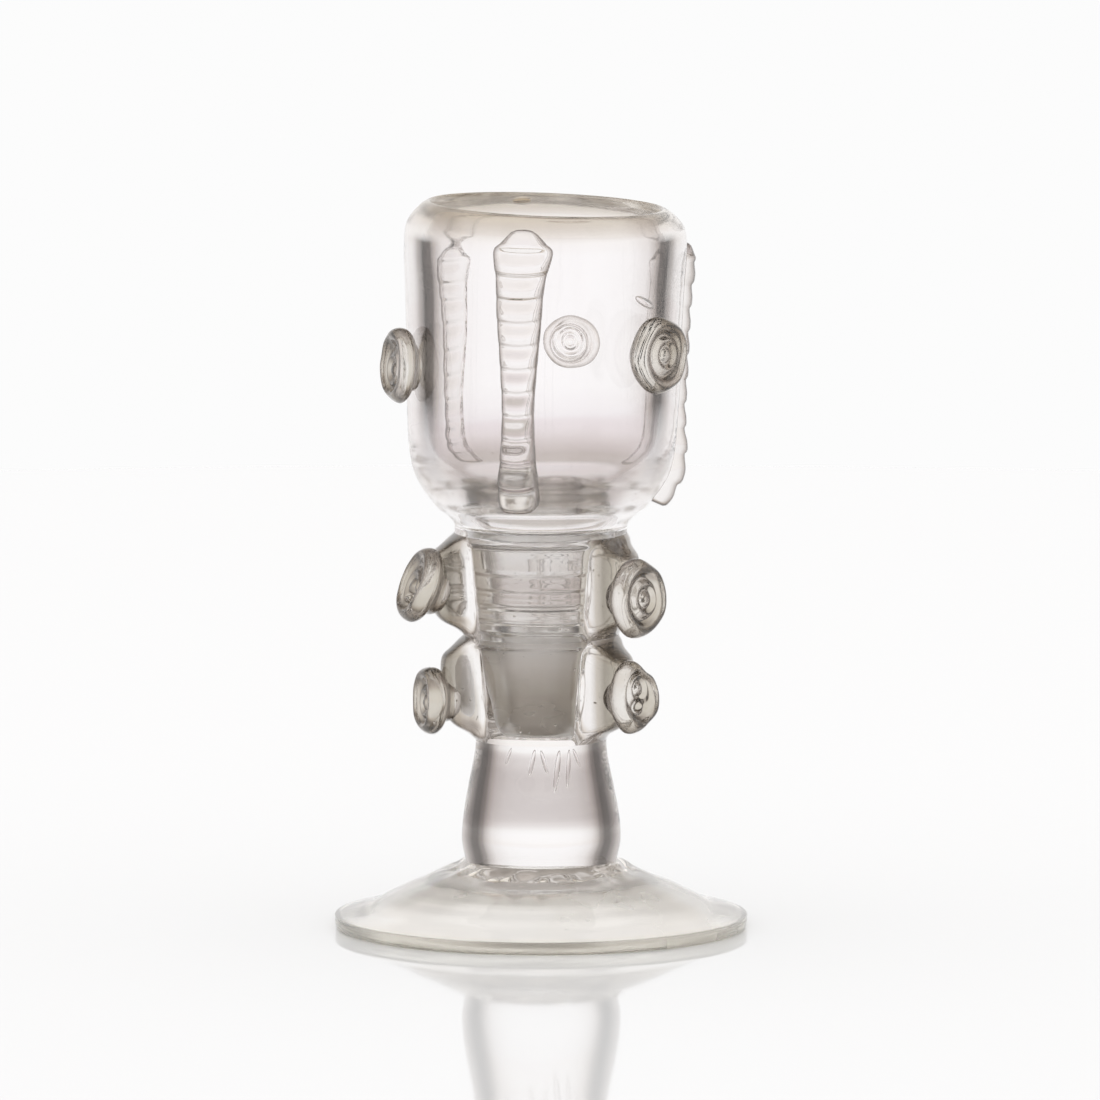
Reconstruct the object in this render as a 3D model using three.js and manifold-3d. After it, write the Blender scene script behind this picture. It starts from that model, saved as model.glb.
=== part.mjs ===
// A footed prunted glass: a thick blown bowl over two three-lobed knops, a solid stem and a trumpet foot.
// Three pinched trails run down the bowl, and nine prunts are pressed on in three tiers of three.
// Millimetres, +Z up, seen from -Y. The origin is the centre of the ring that the foot rests on.

import * as THREE from 'three';
import { mergeVertices } from 'three/addons/utils/BufferGeometryUtils.js';
import Module from 'manifold-3d';

const wasm = await Module();
wasm.setup();

// Levels of the seams between the stacked pieces
const lipHeight = 162.7;
const neckSeam = 89.1;
const waistSeam = 66.1;
const stemSeam = 42.5;
const footSeam = 15.3;

// Radii at the seams, outside and in the cavity that runs on from the bowl
const neckRadius = 19.3;
const neckBore = 13.2;
const waistRadius = 17.3;
const waistBore = 9.9;
const stemTopRadius = 14.6;
const cupBore = 6.6;
const cupFloor = 1.4;

// Bowl
const bowlRadius = 31.3;
const bowlWall = 4.5;
const bowlLean = 1.1;
const lipDrop = 1.2;

// Three-lobed knops: how far each is drawn out, to the right, to the back and to the left
const upperRightReach = 7.8;
const upperBackReach = 7;
const upperLeftReach = 7.4;
const lowerRightReach = 8.8;
const lowerBackReach = 7.2;
const lowerLeftReach = 7;
const lobeBearing = 48;
const lobeSpread = 32;
const frontLobeSpread = 12.5;

// Stem and foot
const stemRadius = 17.8;
const stemFootRadius = 17;
const footRadius = 46.3;
const footEdgeHeight = 2.9;
const footEdgeTuck = 0.9;
const footRingWidth = 1.1;
const footShell = 4.6;
const padRadius = 19.7;
const padDepth = 1.8;

// Pinched trails down the bowl: where they start and end are shares of its height
const trailTopShare = 0.97;
const sideTrailTopShare = 0.894;
const trailFootShare = 0.087;
const trailHeadWidth = 13.9;
const trailWaistWidth = 7.4;
const trailTailWidth = 9.2;
const trailProud = 3;
const trailPitch = 5.3;
const trailBearing = -10.5;

// Prunts: a flattened gather with a raised rim round a groove and a small boss
const pruntRadius = 8.6;
const backPruntRadius = 6.1;
const pruntProud = 5.4;
const pruntGroove = 1.4;
const pruntBossRadius = 1.4;
const smallPruntRadius = 7.4;

// The trails and the prunts stand in threes round the glass, the prunts between the trails.
const third = 120;

// Clearance left where fused pieces meet, and how far a cut runs past what it cuts
const seamGap = 0.3;
const overrun = 4;

// Facets
const footSides = 48;
const bowlSides = 42;
const knopSides = 36;
const pruntSides = 18;
const trailSides = 8;
const stepsPerNotch = 3;

const degree = Math.PI / 180;
const quarterTurn = Math.PI / 2;

function glass(color) {
  const look = { color, roughness: 0.04, metalness: 0, transparent: true, opacity: 0.55 };
  return new THREE.MeshStandardMaterial(look);
}

const clearGlass = glass(0xe9e8e2);
const knopGlass = glass(0xdedccf);
const trailGlass = glass(0xd9d6cc);
const pruntGlass = glass(0xd6d4c3);
const footGlass = glass(0xdcdac4);

function mix(from, to, share) {
  return from + (to - from) * share;
}

// Radius of an outline, a list of [radius, height] rising in height, at one height.
function radiusAt(outline, height) {
  const after = outline.findIndex(([, level]) => level >= height);
  if (after <= 0) return outline[after === 0 ? 0 : outline.length - 1][0];
  const [lowRadius, low] = outline[after - 1];
  const [highRadius, high] = outline[after];
  return mix(lowRadius, highRadius, (height - low) / (high - low));
}

// The solid turned from a closed outline of [radius, height] points, given counter-clockwise.
function turned(outline, sides) {
  const points = [...outline, outline[0]].map(([radius, height]) => new THREE.Vector2(radius, height));
  return new THREE.LatheGeometry(points, sides).rotateX(quarterTurn);
}

// Moves each vertex of a geometry to where the given function puts it; it is told the vertex's number too.
function reshape(geometry, move) {
  const position = geometry.attributes.position;
  const vertex = new THREE.Vector3();
  for (let i = 0; i < position.count; i += 1) {
    vertex.fromBufferAttribute(position, i);
    move(vertex, i);
    position.setXYZ(i, vertex.x, vertex.y, vertex.z);
  }
  return geometry;
}

function solid(geometry) {
  const bare = geometry.clone();
  bare.deleteAttribute('normal');
  bare.deleteAttribute('uv');
  const merged = mergeVertices(bare, 1e-3);
  const mesh = new wasm.Mesh({
    numProp: 3,
    vertProperties: new Float32Array(merged.attributes.position.array),
    triVerts: new Uint32Array(merged.index.array),
  });
  return new wasm.Manifold(mesh);
}

function geometryOf(body) {
  const mesh = body.getMesh();
  const geometry = new THREE.BufferGeometry();
  geometry.setAttribute('position', new THREE.BufferAttribute(mesh.vertProperties, 3));
  geometry.setIndex(new THREE.BufferAttribute(mesh.triVerts, 1));
  geometry.computeVertexNormals();
  return geometry;
}

function piece(name, geometry, material) {
  const mesh = new THREE.Mesh(geometry, material);
  mesh.name = name;
  return mesh;
}

// The bowl leans a little to +X as it rises, and its lip runs downhill the same way.
function leanAt(height) {
  return bowlLean * Math.max(0, (height - neckSeam) / (lipHeight - neckSeam));
}

function slump(vertex) {
  const share = Math.max(0, (vertex.z - neckSeam) / (lipHeight - neckSeam));
  vertex.z -= lipDrop * (vertex.x / bowlRadius) * share ** 8;
  vertex.x += bowlLean * share;
}

// Outside of the bowl: shares of its height, and of the step from the neck's radius to the bowl's.
const bowlOutsideShares = [
  [0, 0], [0.03, 0.02], [0.055, 0.16], [0.08, 0.36], [0.105, 0.48], [0.13, 0.6], [0.155, 0.69], [0.18, 0.77],
  [0.25, 0.87], [0.4, 0.93], [0.6, 0.96], [0.75, 0.99], [0.86, 1.03], [0.93, 1], [0.955, 0.92], [0.98, 0.78],
  [0.995, 0.66], [1, 0.6],
];

// Inside of the bowl: shares of its height, and of the step from the bore to the inside of the wall.
const bowlInsideShares = [
  [0, 0], [0.05, 0.05], [0.1, 0.2], [0.145, 0.45], [0.2, 0.72], [0.26, 0.88], [0.38, 0.95], [0.6, 0.98],
  [0.85, 1.04], [0.93, 0.98], [0.98, 0.9],
];

function bowlOutside() {
  return bowlOutsideShares.map(([rise, swell]) => [
    mix(neckRadius, bowlRadius, swell),
    mix(neckSeam, lipHeight, rise),
  ]);
}

function bowlInside() {
  return bowlInsideShares.map(([rise, swell]) => [
    mix(neckBore, bowlRadius - bowlWall, swell),
    mix(neckSeam, lipHeight, rise),
  ]);
}

function makeBowl() {
  const outline = [...bowlOutside(), ...bowlInside().reverse()];
  return piece('bowl', reshape(turned(outline, bowlSides), slump), clearGlass);
}

// A trail: share of the way down, shares of the widths of its head, waist and tail, and share of its rise.
const trailShares = [
  [0, 0.24, 0, 0, 0.3], [0.03, 0.52, 0, 0, 0.8], [0.088, 1, 0, 0, 1.15], [0.13, 0.93, 0, 0, 1.2],
  [0.21, 0.8, 0, 0, 1.15], [0.33, 0.74, 0, 0, 1.1], [0.5, 0.17, 0.83, 0, 1.1], [0.66, 0, 1, 0, 1.1],
  [0.84, 0, 0.5, 0.5, 1.6], [0.92, 0, 0, 1, 1.75], [0.97, 0, 0, 0.84, 1.65], [1, 0, 0, 0.5, 0.9],
];
const pinchShare = 0.45;

function trailWidths() {
  return trailShares.map(([down, head, waist, tail]) => [
    head * trailHeadWidth + waist * trailWaistWidth + tail * trailTailWidth,
    down,
  ]);
}

function trailRises() {
  return trailShares.map((row) => [row.at(-1) * trailProud, row[0]]);
}

// A trail is a ribbon bent down the bowl's outside and pinched across at an even pitch.
function makeTrail(name, bearing, topShare) {
  const wall = bowlOutside();
  const widths = trailWidths();
  const rises = trailRises();
  const top = mix(neckSeam, lipHeight, topShare);
  const bottom = mix(neckSeam, lipHeight, trailFootShare);
  const notches = Math.round((top - bottom) / trailPitch);
  const step = (top - bottom) / (notches * stepsPerNotch);
  const ribbon = new THREE.CylinderGeometry(1, 1, 1, trailSides, notches * stepsPerNotch);
  reshape(ribbon, (vertex) => {
    const down = 0.5 - vertex.y;
    const height = mix(top, bottom, down);
    const slope = (radiusAt(wall, height + step) - radiusAt(wall, height - step)) / (step * 2);
    const pinch = pinchShare * Math.abs(Math.cos(down * notches * Math.PI)) ** 6;
    const proud = radiusAt(rises, down) * (1 - pinch) * Math.max(0, vertex.z);
    const radius = radiusAt(wall, height) + (seamGap + proud) / Math.hypot(1, slope);
    const angle = bearing * degree + (vertex.x * radiusAt(widths, down)) / (radius * 2);
    const drop = (slope * proud) / Math.hypot(1, slope);
    vertex.set(radius * Math.sin(angle), -radius * Math.cos(angle), height - drop);
    slump(vertex);
  });
  return piece(name, ribbon, trailGlass);
}

// Outside of a knop: shares of its height, and of how far the lobes are drawn out there.
const knopLobeShares = [
  [0, 0], [0.08, 0.3], [0.2, 0.86], [0.32, 1], [0.55, 1], [0.78, 0.92], [0.89, 0.56], [0.96, 0.16], [1, 0],
];

const upperKnop = {
  top: neckSeam - seamGap,
  bottom: waistSeam,
  topRadius: neckRadius,
  bottomRadius: waistRadius,
  reaches: [upperRightReach, upperBackReach, upperLeftReach],
};

const lowerKnop = {
  top: waistSeam - seamGap,
  bottom: stemSeam,
  topRadius: waistRadius,
  bottomRadius: stemTopRadius,
  reaches: [lowerRightReach, lowerBackReach, lowerLeftReach],
};

// Cavity of the upper knop from the top down: shares of its height, and of the step between its two bores.
const upperBoreShares = [[1, 1], [0.6, 0.6], [0.2, 0.15], [0, 0]];

function upperBore() {
  return upperBoreShares.map(([rise, swell]) => [
    mix(waistBore, neckBore, swell),
    mix(upperKnop.bottom, upperKnop.top, rise),
  ]);
}

// Cavity of the lower knop from the top down to its floor, in the same shares.
const lowerBoreShares = [[1, 1], [0.8, 0.85], [0.35, 0.25], [0.08, 0]];
const cupCornerShare = 0.7;

function lowerBore() {
  const floor = stemSeam + cupFloor;
  const wall = lowerBoreShares.map(([rise, swell]) => [
    mix(cupBore, waistBore, swell),
    mix(floor, lowerKnop.top, rise),
  ]);
  return [...wall, [cupBore * cupCornerShare, floor], [0, floor], [0, stemSeam]];
}

// The turn from one bearing to another, at most half a turn either way.
function turnBetween(from, to) {
  const away = (to - from) * degree;
  return Math.atan2(Math.sin(away), Math.cos(away)) / degree;
}

// How far a knop's lobes stand out at a bearing. Each fades softly to almost nothing halfway to the next, but
// towards the front, where the knop is left round, it is a narrow arm with a steep flank.
function lobeReachAt(knop, bearing) {
  const frontward = Math.abs(turnBetween(lobeBearing - third / 2, bearing)) < third / 2;
  return knop.reaches.reduce((sum, reach, i) => {
    const away = turnBetween(lobeBearing + i * third, bearing);
    const fade = frontward ? (away / frontLobeSpread) ** 4 : (away / lobeSpread) ** 2;
    return sum + reach * Math.exp(-fade);
  }, 0);
}

// A knop's outside follows the wall between its two seams, and swells into a lobe under each prunt.
function makeKnopBody(knop, inside, grow) {
  const span = knop.top - knop.bottom;
  const outside = knopLobeShares.map(([rise]) => [
    mix(knop.bottomRadius, knop.topRadius, rise) + grow,
    knop.bottom + span * rise,
  ]);
  const outline = [...outside, ...inside];
  const lobes = knopLobeShares.map(([rise, out]) => [out, rise]);
  return reshape(turned(outline, knopSides), (vertex, i) => {
    if (i % (outline.length + 1) >= outside.length) return;
    const bearing = Math.atan2(vertex.x, -vertex.y) / degree;
    const lobe = radiusAt(lobes, (vertex.z - knop.bottom) / span) * lobeReachAt(knop, bearing);
    const stretch = 1 + lobe / Math.hypot(vertex.x, vertex.y);
    vertex.x *= stretch;
    vertex.y *= stretch;
  });
}

// A knop's outside, filled in and grown by the clearance.
function makeKnopSkin(knop) {
  return makeKnopBody(knop, [[0, knop.top], [0, knop.bottom]], seamGap);
}

// Stem, a solid baluster: shares of its height, and of the step from its top radius to its fullest.
const stemShares = [
  [0.16, 1], [0.28, 0.98], [0.42, 0.84], [0.56, 0.62], [0.7, 0.38], [0.82, 0.16], [0.94, 0.02], [1, 0],
];

function makeStem() {
  const bottom = footSeam + seamGap;
  const top = stemSeam - seamGap;
  const side = stemShares.map(([rise, swell]) => [
    mix(stemTopRadius, stemRadius, swell),
    mix(bottom, top, rise),
  ]);
  const outline = [[0, bottom], [stemFootRadius, bottom], ...side, [0, top]];
  return piece('stem', turned(outline, knopSides), clearGlass);
}

// Foot, above: shares of the step from its edge in to the stem, and of the rise from its edge to the seam.
const footTopShares = [[0.04, 0.03], [0.235, 0.155], [0.495, 0.45], [0.747, 0.71], [0.925, 0.9], [1, 1]];

// Foot, below: shares of the step from its resting ring in to the pad, and of the rise to the hollow's crown.
const footUnderShares = [[0.7, 0.76], [0.45, 0.46], [0.18, 0.14]];

function makeFoot() {
  const rest = footRadius - footEdgeTuck;
  const crown = footSeam - footShell;
  const top = footTopShares.map(([inward, rise]) => [
    mix(footRadius, stemFootRadius, inward),
    mix(footEdgeHeight, footSeam, rise),
  ]);
  const under = footUnderShares.map(([inward, rise]) => [mix(rest, padRadius, inward), crown * rise]);
  const outline = [
    [0, crown], [padRadius, crown], ...under, [rest - footRingWidth, 0], [rest, 0],
    [footRadius, footEdgeHeight / 2], ...top, [0, footSeam],
  ];
  return piece('foot', turned(outline, footSides), footGlass);
}

// Rolled edge of the pad: shares of its radius and of its depth below the crown.
const padShares = [[0, 0.6], [0.72, 0.6], [0.86, 1], [0.95, 0.8], [0.97, 0.3], [0.92, 0], [0, 0]];

// The rough pad of glass left under the stem, where the foot was joined.
function makePontilPad() {
  const top = footSeam - footShell - seamGap;
  const outline = padShares.map(([out, down]) => [padRadius * out, top - padDepth * down]);
  return piece('pontil_pad', turned(outline, knopSides), footGlass);
}

// A prunt's edge from the wall out to its rim: shares of its radius and of how far its face stands out.
const pruntEdgeShares = [[0.8, 0.05], [0.97, 0.3], [1, 0.52], [0.93, 0.8], [0.72, 1]];

// Its face from the rim in to the boss: shares of the step between them and of the groove's depth.
const pruntFaceShares = [[0.55, 0.75], [0.2, 1], [0, 0.45]];

// A prunt turned about its own +Z, with its back inside the wall that carries it.
function makePruntBlank(radius) {
  const edge = pruntEdgeShares.map(([out, rise]) => [radius * out, pruntProud * rise]);
  const [rimRadius] = edge.at(-1);
  const face = pruntFaceShares.map(([out, down]) => [
    mix(pruntBossRadius, rimRadius, out),
    pruntProud - pruntGroove * down,
  ]);
  const outline = [[0, -overrun], [edge[0][0], -overrun], ...edge, ...face, [0, face.at(-1)[1]]];
  return turned(outline, pruntSides);
}

// Seats a prunt on a wall: it points out at its bearing, tips up by its pitch, and is cut by the skin.
function makePrunt(name, skin, place) {
  const seat = new THREE.Group();
  seat.position.set(place.lean, 0, place.height);
  seat.rotation.z = place.bearing * degree - quarterTurn;
  const prunt = piece(name, makePruntBlank(place.radius), pruntGlass);
  prunt.position.x = place.reach;
  prunt.rotation.y = quarterTurn - place.pitch * degree;
  seat.add(prunt);
  seat.updateMatrixWorld(true);
  const cutter = skin.clone().applyMatrix4(prunt.matrixWorld.clone().invert());
  prunt.geometry = geometryOf(solid(prunt.geometry).subtract(solid(cutter)));
  return seat;
}

// The bowl's outside, filled in and grown by the clearance.
function makeBowlSkin() {
  const outside = bowlOutside().map(([radius, height]) => [radius + seamGap, height]);
  return reshape(turned([...outside, [0, lipHeight], [0, neckSeam]], bowlSides), slump);
}

// Three tiers of prunts. Each tier's three go to the right, back and left. Each prunt has its own height,
// a share of the piece that carries it, and its own upward pitch in degrees.
const tiers = [
  {
    name: 'bowl_prunt',
    skin: makeBowlSkin(),
    radii: [pruntRadius, backPruntRadius, pruntRadius],
    reaches: [bowlRadius, bowlRadius, bowlRadius],
    bottom: neckSeam,
    top: lipHeight,
    heightShares: [0.573, 0.53, 0.52],
    pitches: [0, 3, 6],
  },
  {
    name: 'upper_knop_prunt',
    skin: makeKnopSkin(upperKnop),
    radii: [pruntRadius, pruntRadius, pruntRadius],
    reaches: upperKnop.reaches.map((reach) => mix(waistRadius, neckRadius, 0.5) + reach),
    bottom: waistSeam,
    top: neckSeam,
    heightShares: [0.45, 0.45, 0.475],
    pitches: [2, 8, 22],
  },
  {
    name: 'lower_knop_prunt',
    skin: makeKnopSkin(lowerKnop),
    radii: [smallPruntRadius, smallPruntRadius, smallPruntRadius],
    reaches: lowerKnop.reaches.map((reach) => mix(stemTopRadius, waistRadius, 0.5) + reach),
    bottom: stemSeam,
    top: waistSeam,
    heightShares: [0.485, 0.46, 0.405],
    pitches: [4, 2, 3],
  },
];

const pruntNames = ['right', 'back', 'left'];

const glassware = new THREE.Group();
glassware.add(makeBowl());
glassware.add(makeTrail('trail_front', trailBearing, trailTopShare));
glassware.add(makeTrail('trail_right', trailBearing + third, sideTrailTopShare));
glassware.add(makeTrail('trail_left', trailBearing - third, sideTrailTopShare));
glassware.add(piece('upper_knop', makeKnopBody(upperKnop, upperBore(), 0), knopGlass));
glassware.add(piece('lower_knop', makeKnopBody(lowerKnop, lowerBore(), 0), knopGlass));
glassware.add(makeStem());
glassware.add(makeFoot());
glassware.add(makePontilPad());
for (const tier of tiers) {
  pruntNames.forEach((side, i) => {
    const height = mix(tier.bottom, tier.top, tier.heightShares[i]);
    glassware.add(makePrunt(`${tier.name}_${side}`, tier.skin, {
      height,
      lean: leanAt(height),
      bearing: lobeBearing + i * third,
      pitch: tier.pitches[i],
      radius: tier.radii[i],
      reach: tier.reaches[i],
    }));
  });
}

export default glassware;
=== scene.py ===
"""A footed prunted glass: blown bowl, pinched trails, pressed prunts, two lobed knops, a stem and a trumpet foot.

Each piece is a closed skin of glass round its own solid. Where two gathers are fused, both skins carry clear seam
faces, so light runs from one into the next as it does in one body of glass.

Sizes are in millimetres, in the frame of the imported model: +Z up, seen from -Y, origin at the centre of the foot's
resting ring. A bearing is in degrees from the viewer, -Y, and grows towards +X.
"""

from __future__ import annotations

import logging
import math
import random
import sys
from dataclasses import dataclass, field
from enum import Enum
from typing import Callable, Sequence

import bmesh
import bpy
from bpy.types import Material, Mesh, Node, NodeSocket, NodeTree, Object
from mathutils import Matrix, Vector, noise

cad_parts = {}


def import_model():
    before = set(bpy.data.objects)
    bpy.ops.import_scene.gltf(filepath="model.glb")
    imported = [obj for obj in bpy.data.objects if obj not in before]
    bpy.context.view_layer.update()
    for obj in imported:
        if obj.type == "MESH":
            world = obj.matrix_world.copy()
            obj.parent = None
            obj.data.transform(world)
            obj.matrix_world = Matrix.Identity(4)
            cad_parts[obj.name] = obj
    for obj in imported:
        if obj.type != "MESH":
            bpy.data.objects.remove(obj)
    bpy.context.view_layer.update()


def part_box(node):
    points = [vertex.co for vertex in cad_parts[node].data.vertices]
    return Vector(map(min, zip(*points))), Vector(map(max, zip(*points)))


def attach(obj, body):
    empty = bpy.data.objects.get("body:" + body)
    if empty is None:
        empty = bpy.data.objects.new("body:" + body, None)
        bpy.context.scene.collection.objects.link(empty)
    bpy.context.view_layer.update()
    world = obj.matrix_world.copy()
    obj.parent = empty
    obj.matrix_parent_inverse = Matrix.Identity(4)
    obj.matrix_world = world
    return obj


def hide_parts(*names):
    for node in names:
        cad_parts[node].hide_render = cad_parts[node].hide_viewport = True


log = logging.getLogger("glass")

MM = 0.001
ROOT = "root"
THIRD = 120.0
LOBE_BEARING = 48.0
UNEVENNESS = 0.16

Point = tuple[float, float]
Outline = list[Point]
Colour = tuple[float, float, float]
Stops = Sequence[tuple[float, Colour]]
Place = Callable[[float, float, float], Vector]

WHITE: Colour = (1, 1, 1)


class Face(Enum):
    """What a face of a skin is."""

    GLASS = 0
    SEAM = 1
    INSIDE = 2
    FOLD = 3


Stretch = tuple[Outline, Face, Place]


class Slot(Enum):
    """The record's material slots."""

    CLEAR = "clear_glass"
    KNOP = "knop_glass"
    TRAIL = "trail_glass"
    PRUNT = "prunt_glass"
    FOOT = "foot_glass"


def mix(start: float, end: float, share: float) -> float:
    """The value at a share of the way from start to end."""
    return start + (end - start) * share


def eased(low: float, high: float, value: float) -> float:
    """0 below low, 1 above high, and a smooth step between them."""
    share = min(1.0, max(0.0, (value - low) / (high - low)))
    return share * share * (3 - 2 * share)


def within(start: tuple[float, float], end: tuple[float, float], value: float) -> float:
    """1 between two spans, 0 outside them, and a smooth step over each."""
    return eased(*start, value) * (1 - eased(*end, value))


def bump_at(value: float, centre: float, width: float) -> float:
    """A bell of height 1 at centre that falls to about a third at width from it."""
    return math.exp(-(((value - centre) / width) ** 2))


def rippled(point: Vector, grain: float, amount: float) -> float:
    """A smooth wander of up to about amount, the same for every piece at one place.

    Args:
        point: the place, in millimetres.
        grain: about how far apart its crests are.
        amount: how far it wanders.

    Returns:
        The wander in millimetres.
    """
    return noise.noise(point / grain) * amount


def flowing(points: Sequence[Point], steps: int) -> Outline:
    """A smooth outline through points (centripetal Catmull-Rom), with a number of steps to each span.

    Args:
        points: the outline's corners.
        steps: how many points replace each span.

    Returns:
        The smooth outline, which starts and ends on the first and last point.
    """
    spots = [Vector(p) for p in points]
    spots = [spots[0] * 2 - spots[1], *spots, spots[-1] * 2 - spots[-2]]
    out: Outline = []
    for a, b, c, d in zip(spots, spots[1:], spots[2:], spots[3:]):
        t1 = max((b - a).length, 1e-6) ** 0.5
        t2 = t1 + max((c - b).length, 1e-6) ** 0.5
        t3 = t2 + max((d - c).length, 1e-6) ** 0.5
        for step in range(steps):
            t = mix(t1, t2, step / steps)
            ab = a.lerp(b, t / t1)
            bc = b.lerp(c, (t - t1) / (t2 - t1))
            cd = c.lerp(d, (t - t2) / (t3 - t2))
            abc = ab.lerp(bc, t / t2)
            bcd = bc.lerp(cd, (t - t1) / (t3 - t1))
            spot = abc.lerp(bcd, (t - t1) / (t2 - t1))
            out.append((max(0.0, spot.x), spot.y))
    out.append(tuple(points[-1]))
    return out


def parted(outline: Outline, height: float) -> tuple[Outline, Outline]:
    """A falling outline parted at a height; the second part starts on the first one's last point."""
    at = next(i for i, (_, level) in enumerate(outline) if level < height)
    return outline[:at], outline[at - 1 :]


def value_at(table: Sequence[Point], key: float) -> float:
    """The value of a table at one key.

    Args:
        table: pairs of (value, key), rising in key.
        key: where it is read.

    Returns:
        The value between the nearest two pairs, or the end one's.
    """
    if key <= table[0][1]:
        return table[0][0]
    for (low_value, low), (high_value, high) in zip(table, table[1:]):
        if key <= high:
            return mix(low_value, high_value, (key - low) / max(high - low, 1e-9))
    return table[-1][0]


@dataclass(frozen=True)
class Levels:
    """Heights of the seams between the stacked pieces, read from the frame."""

    lip: float
    neck: float
    waist: float
    stem: float
    foot: float
    foot_radius: float

    @classmethod
    def from_frame(cls, lip_run: float) -> Levels:
        """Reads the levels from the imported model's boxes.

        Args:
            lip_run: how far the lip's highest point stands over its middle.

        Returns:
            The levels in millimetres.
        """
        low = {n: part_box(n)[0] for n in ("bowl", "upper_knop", "lower_knop")}
        return cls(
            lip=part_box("bowl")[1][2] / MM - lip_run,
            neck=low["bowl"][2] / MM,
            waist=low["upper_knop"][2] / MM,
            stem=low["lower_knop"][2] / MM,
            foot=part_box("foot")[1][2] / MM,
            foot_radius=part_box("foot")[1][0] / MM,
        )


class Skin:
    """A skin of glass while it is made, in millimetres."""

    def __init__(self) -> None:
        """Starts with no points and no faces."""
        self.points: list[Vector] = []
        self.faces: list[tuple[tuple[int, ...], Face]] = []

    def ring(self, points: Sequence[Vector]) -> list[int]:
        """Adds a ring of points, or a single one.

        Args:
            points: the points.

        Returns:
            Their numbers.
        """
        first = len(self.points)
        self.points.extend(points)
        return list(range(first, len(self.points)))

    def band(self, low: list[int], high: list[int], face: Face = Face.GLASS) -> None:
        """Adds the faces between two rings; either ring may be a single point.

        Args:
            low: numbers of the first ring's points.
            high: numbers of the second ring's points.
            face: what the faces are.
        """
        count = max(len(low), len(high))
        for i in range(count):
            j = (i + 1) % count
            if len(low) == 1:
                corners = (low[0], high[j], high[i])
            elif len(high) == 1:
                corners = (low[i], low[j], high[0])
            else:
                corners = (low[i], low[j], high[j], high[i])
            self.faces.append((corners, face))

    def turn(self, stretches: Sequence[Stretch], sides: int) -> None:
        """Turns a closed outline, given in stretches, round the axis.

        Args:
            stretches: parts of the outline, what each is, and what puts its points in space; each starts where the
                last one ended.
            sides: points round a ring.
        """
        rings: list[tuple[list[int], Face]] = []
        for outline, face, place in stretches:
            for radius, height in outline if not rings else outline[1:]:
                if radius < 1e-6:
                    ring = self.ring([place(0.0, height, 0.0)])
                else:
                    ring = self.ring([place(radius, height, 360 * i / sides) for i in range(sides)])
                rings.append((ring, face))
        for (low, _), (high, face) in zip(rings, rings[1:]):
            self.band(low, high, face)
        first, last = rings[0][0], rings[-1][0]
        if len(first) > 1 and len(last) > 1:
            self.band(last, first, Face.SEAM)

    def bubble(self, centre: Vector, reach: Vector, turn: Matrix, rings: int = 5) -> None:
        """Adds a bubble: a small egg whose faces look inwards.

        Args:
            centre: its middle.
            reach: its half sizes.
            turn: how it is turned.
            rings: rings of points from pole to pole.
        """
        sides = rings * 2
        made = []
        for row in range(rings + 1):
            polar = math.pi * row / rings
            if row in (0, rings):
                spots = [Vector((0, 0, math.cos(polar)))]
            else:
                spots = [
                    Vector((math.sin(polar) * math.cos(a), math.sin(polar) * math.sin(a), math.cos(polar)))
                    for a in (2 * math.pi * i / sides for i in range(sides))
                ]
            made.append(self.ring([centre + turn @ Vector(s * r for s, r in zip(v, reach)) for v in spots]))
        for low, high in zip(made, made[1:]):
            self.band(low, high)

    def mesh(self, name: str) -> Mesh:
        """The skin as a mesh in metres, in the order its faces were given.

        Args:
            name: the mesh's name.

        Returns:
            The mesh.
        """
        mesh = bpy.data.meshes.new(name)
        mesh.from_pydata([p * MM for p in self.points], [], [corners for corners, _ in self.faces])
        for polygon, (_, face) in zip(mesh.polygons, self.faces):
            polygon.material_index = face.value
        return mesh

    def object(self, name: str) -> Object:
        """The skin as an object with its faces turned outwards.

        Args:
            name: the object's name.

        Returns:
            The object.
        """
        mesh = self.mesh(name)
        shell = bmesh.new()
        shell.from_mesh(mesh)
        bmesh.ops.recalc_face_normals(shell, faces=shell.faces)
        shell.to_mesh(mesh)
        shell.free()
        piece = bpy.data.objects.new(name, mesh)
        bpy.context.scene.collection.objects.link(piece)
        return piece


def relist(mesh: Mesh, materials: Sequence[Material]) -> None:
    """Gives a mesh new materials, while each face keeps its number in the list.

    Args:
        mesh: the mesh.
        materials: its new materials, in the order of Face.
    """
    numbers = [polygon.material_index for polygon in mesh.polygons]
    mesh.materials.clear()
    for material in materials:
        mesh.materials.append(material)
    mesh.polygons.foreach_set("material_index", numbers)


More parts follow.
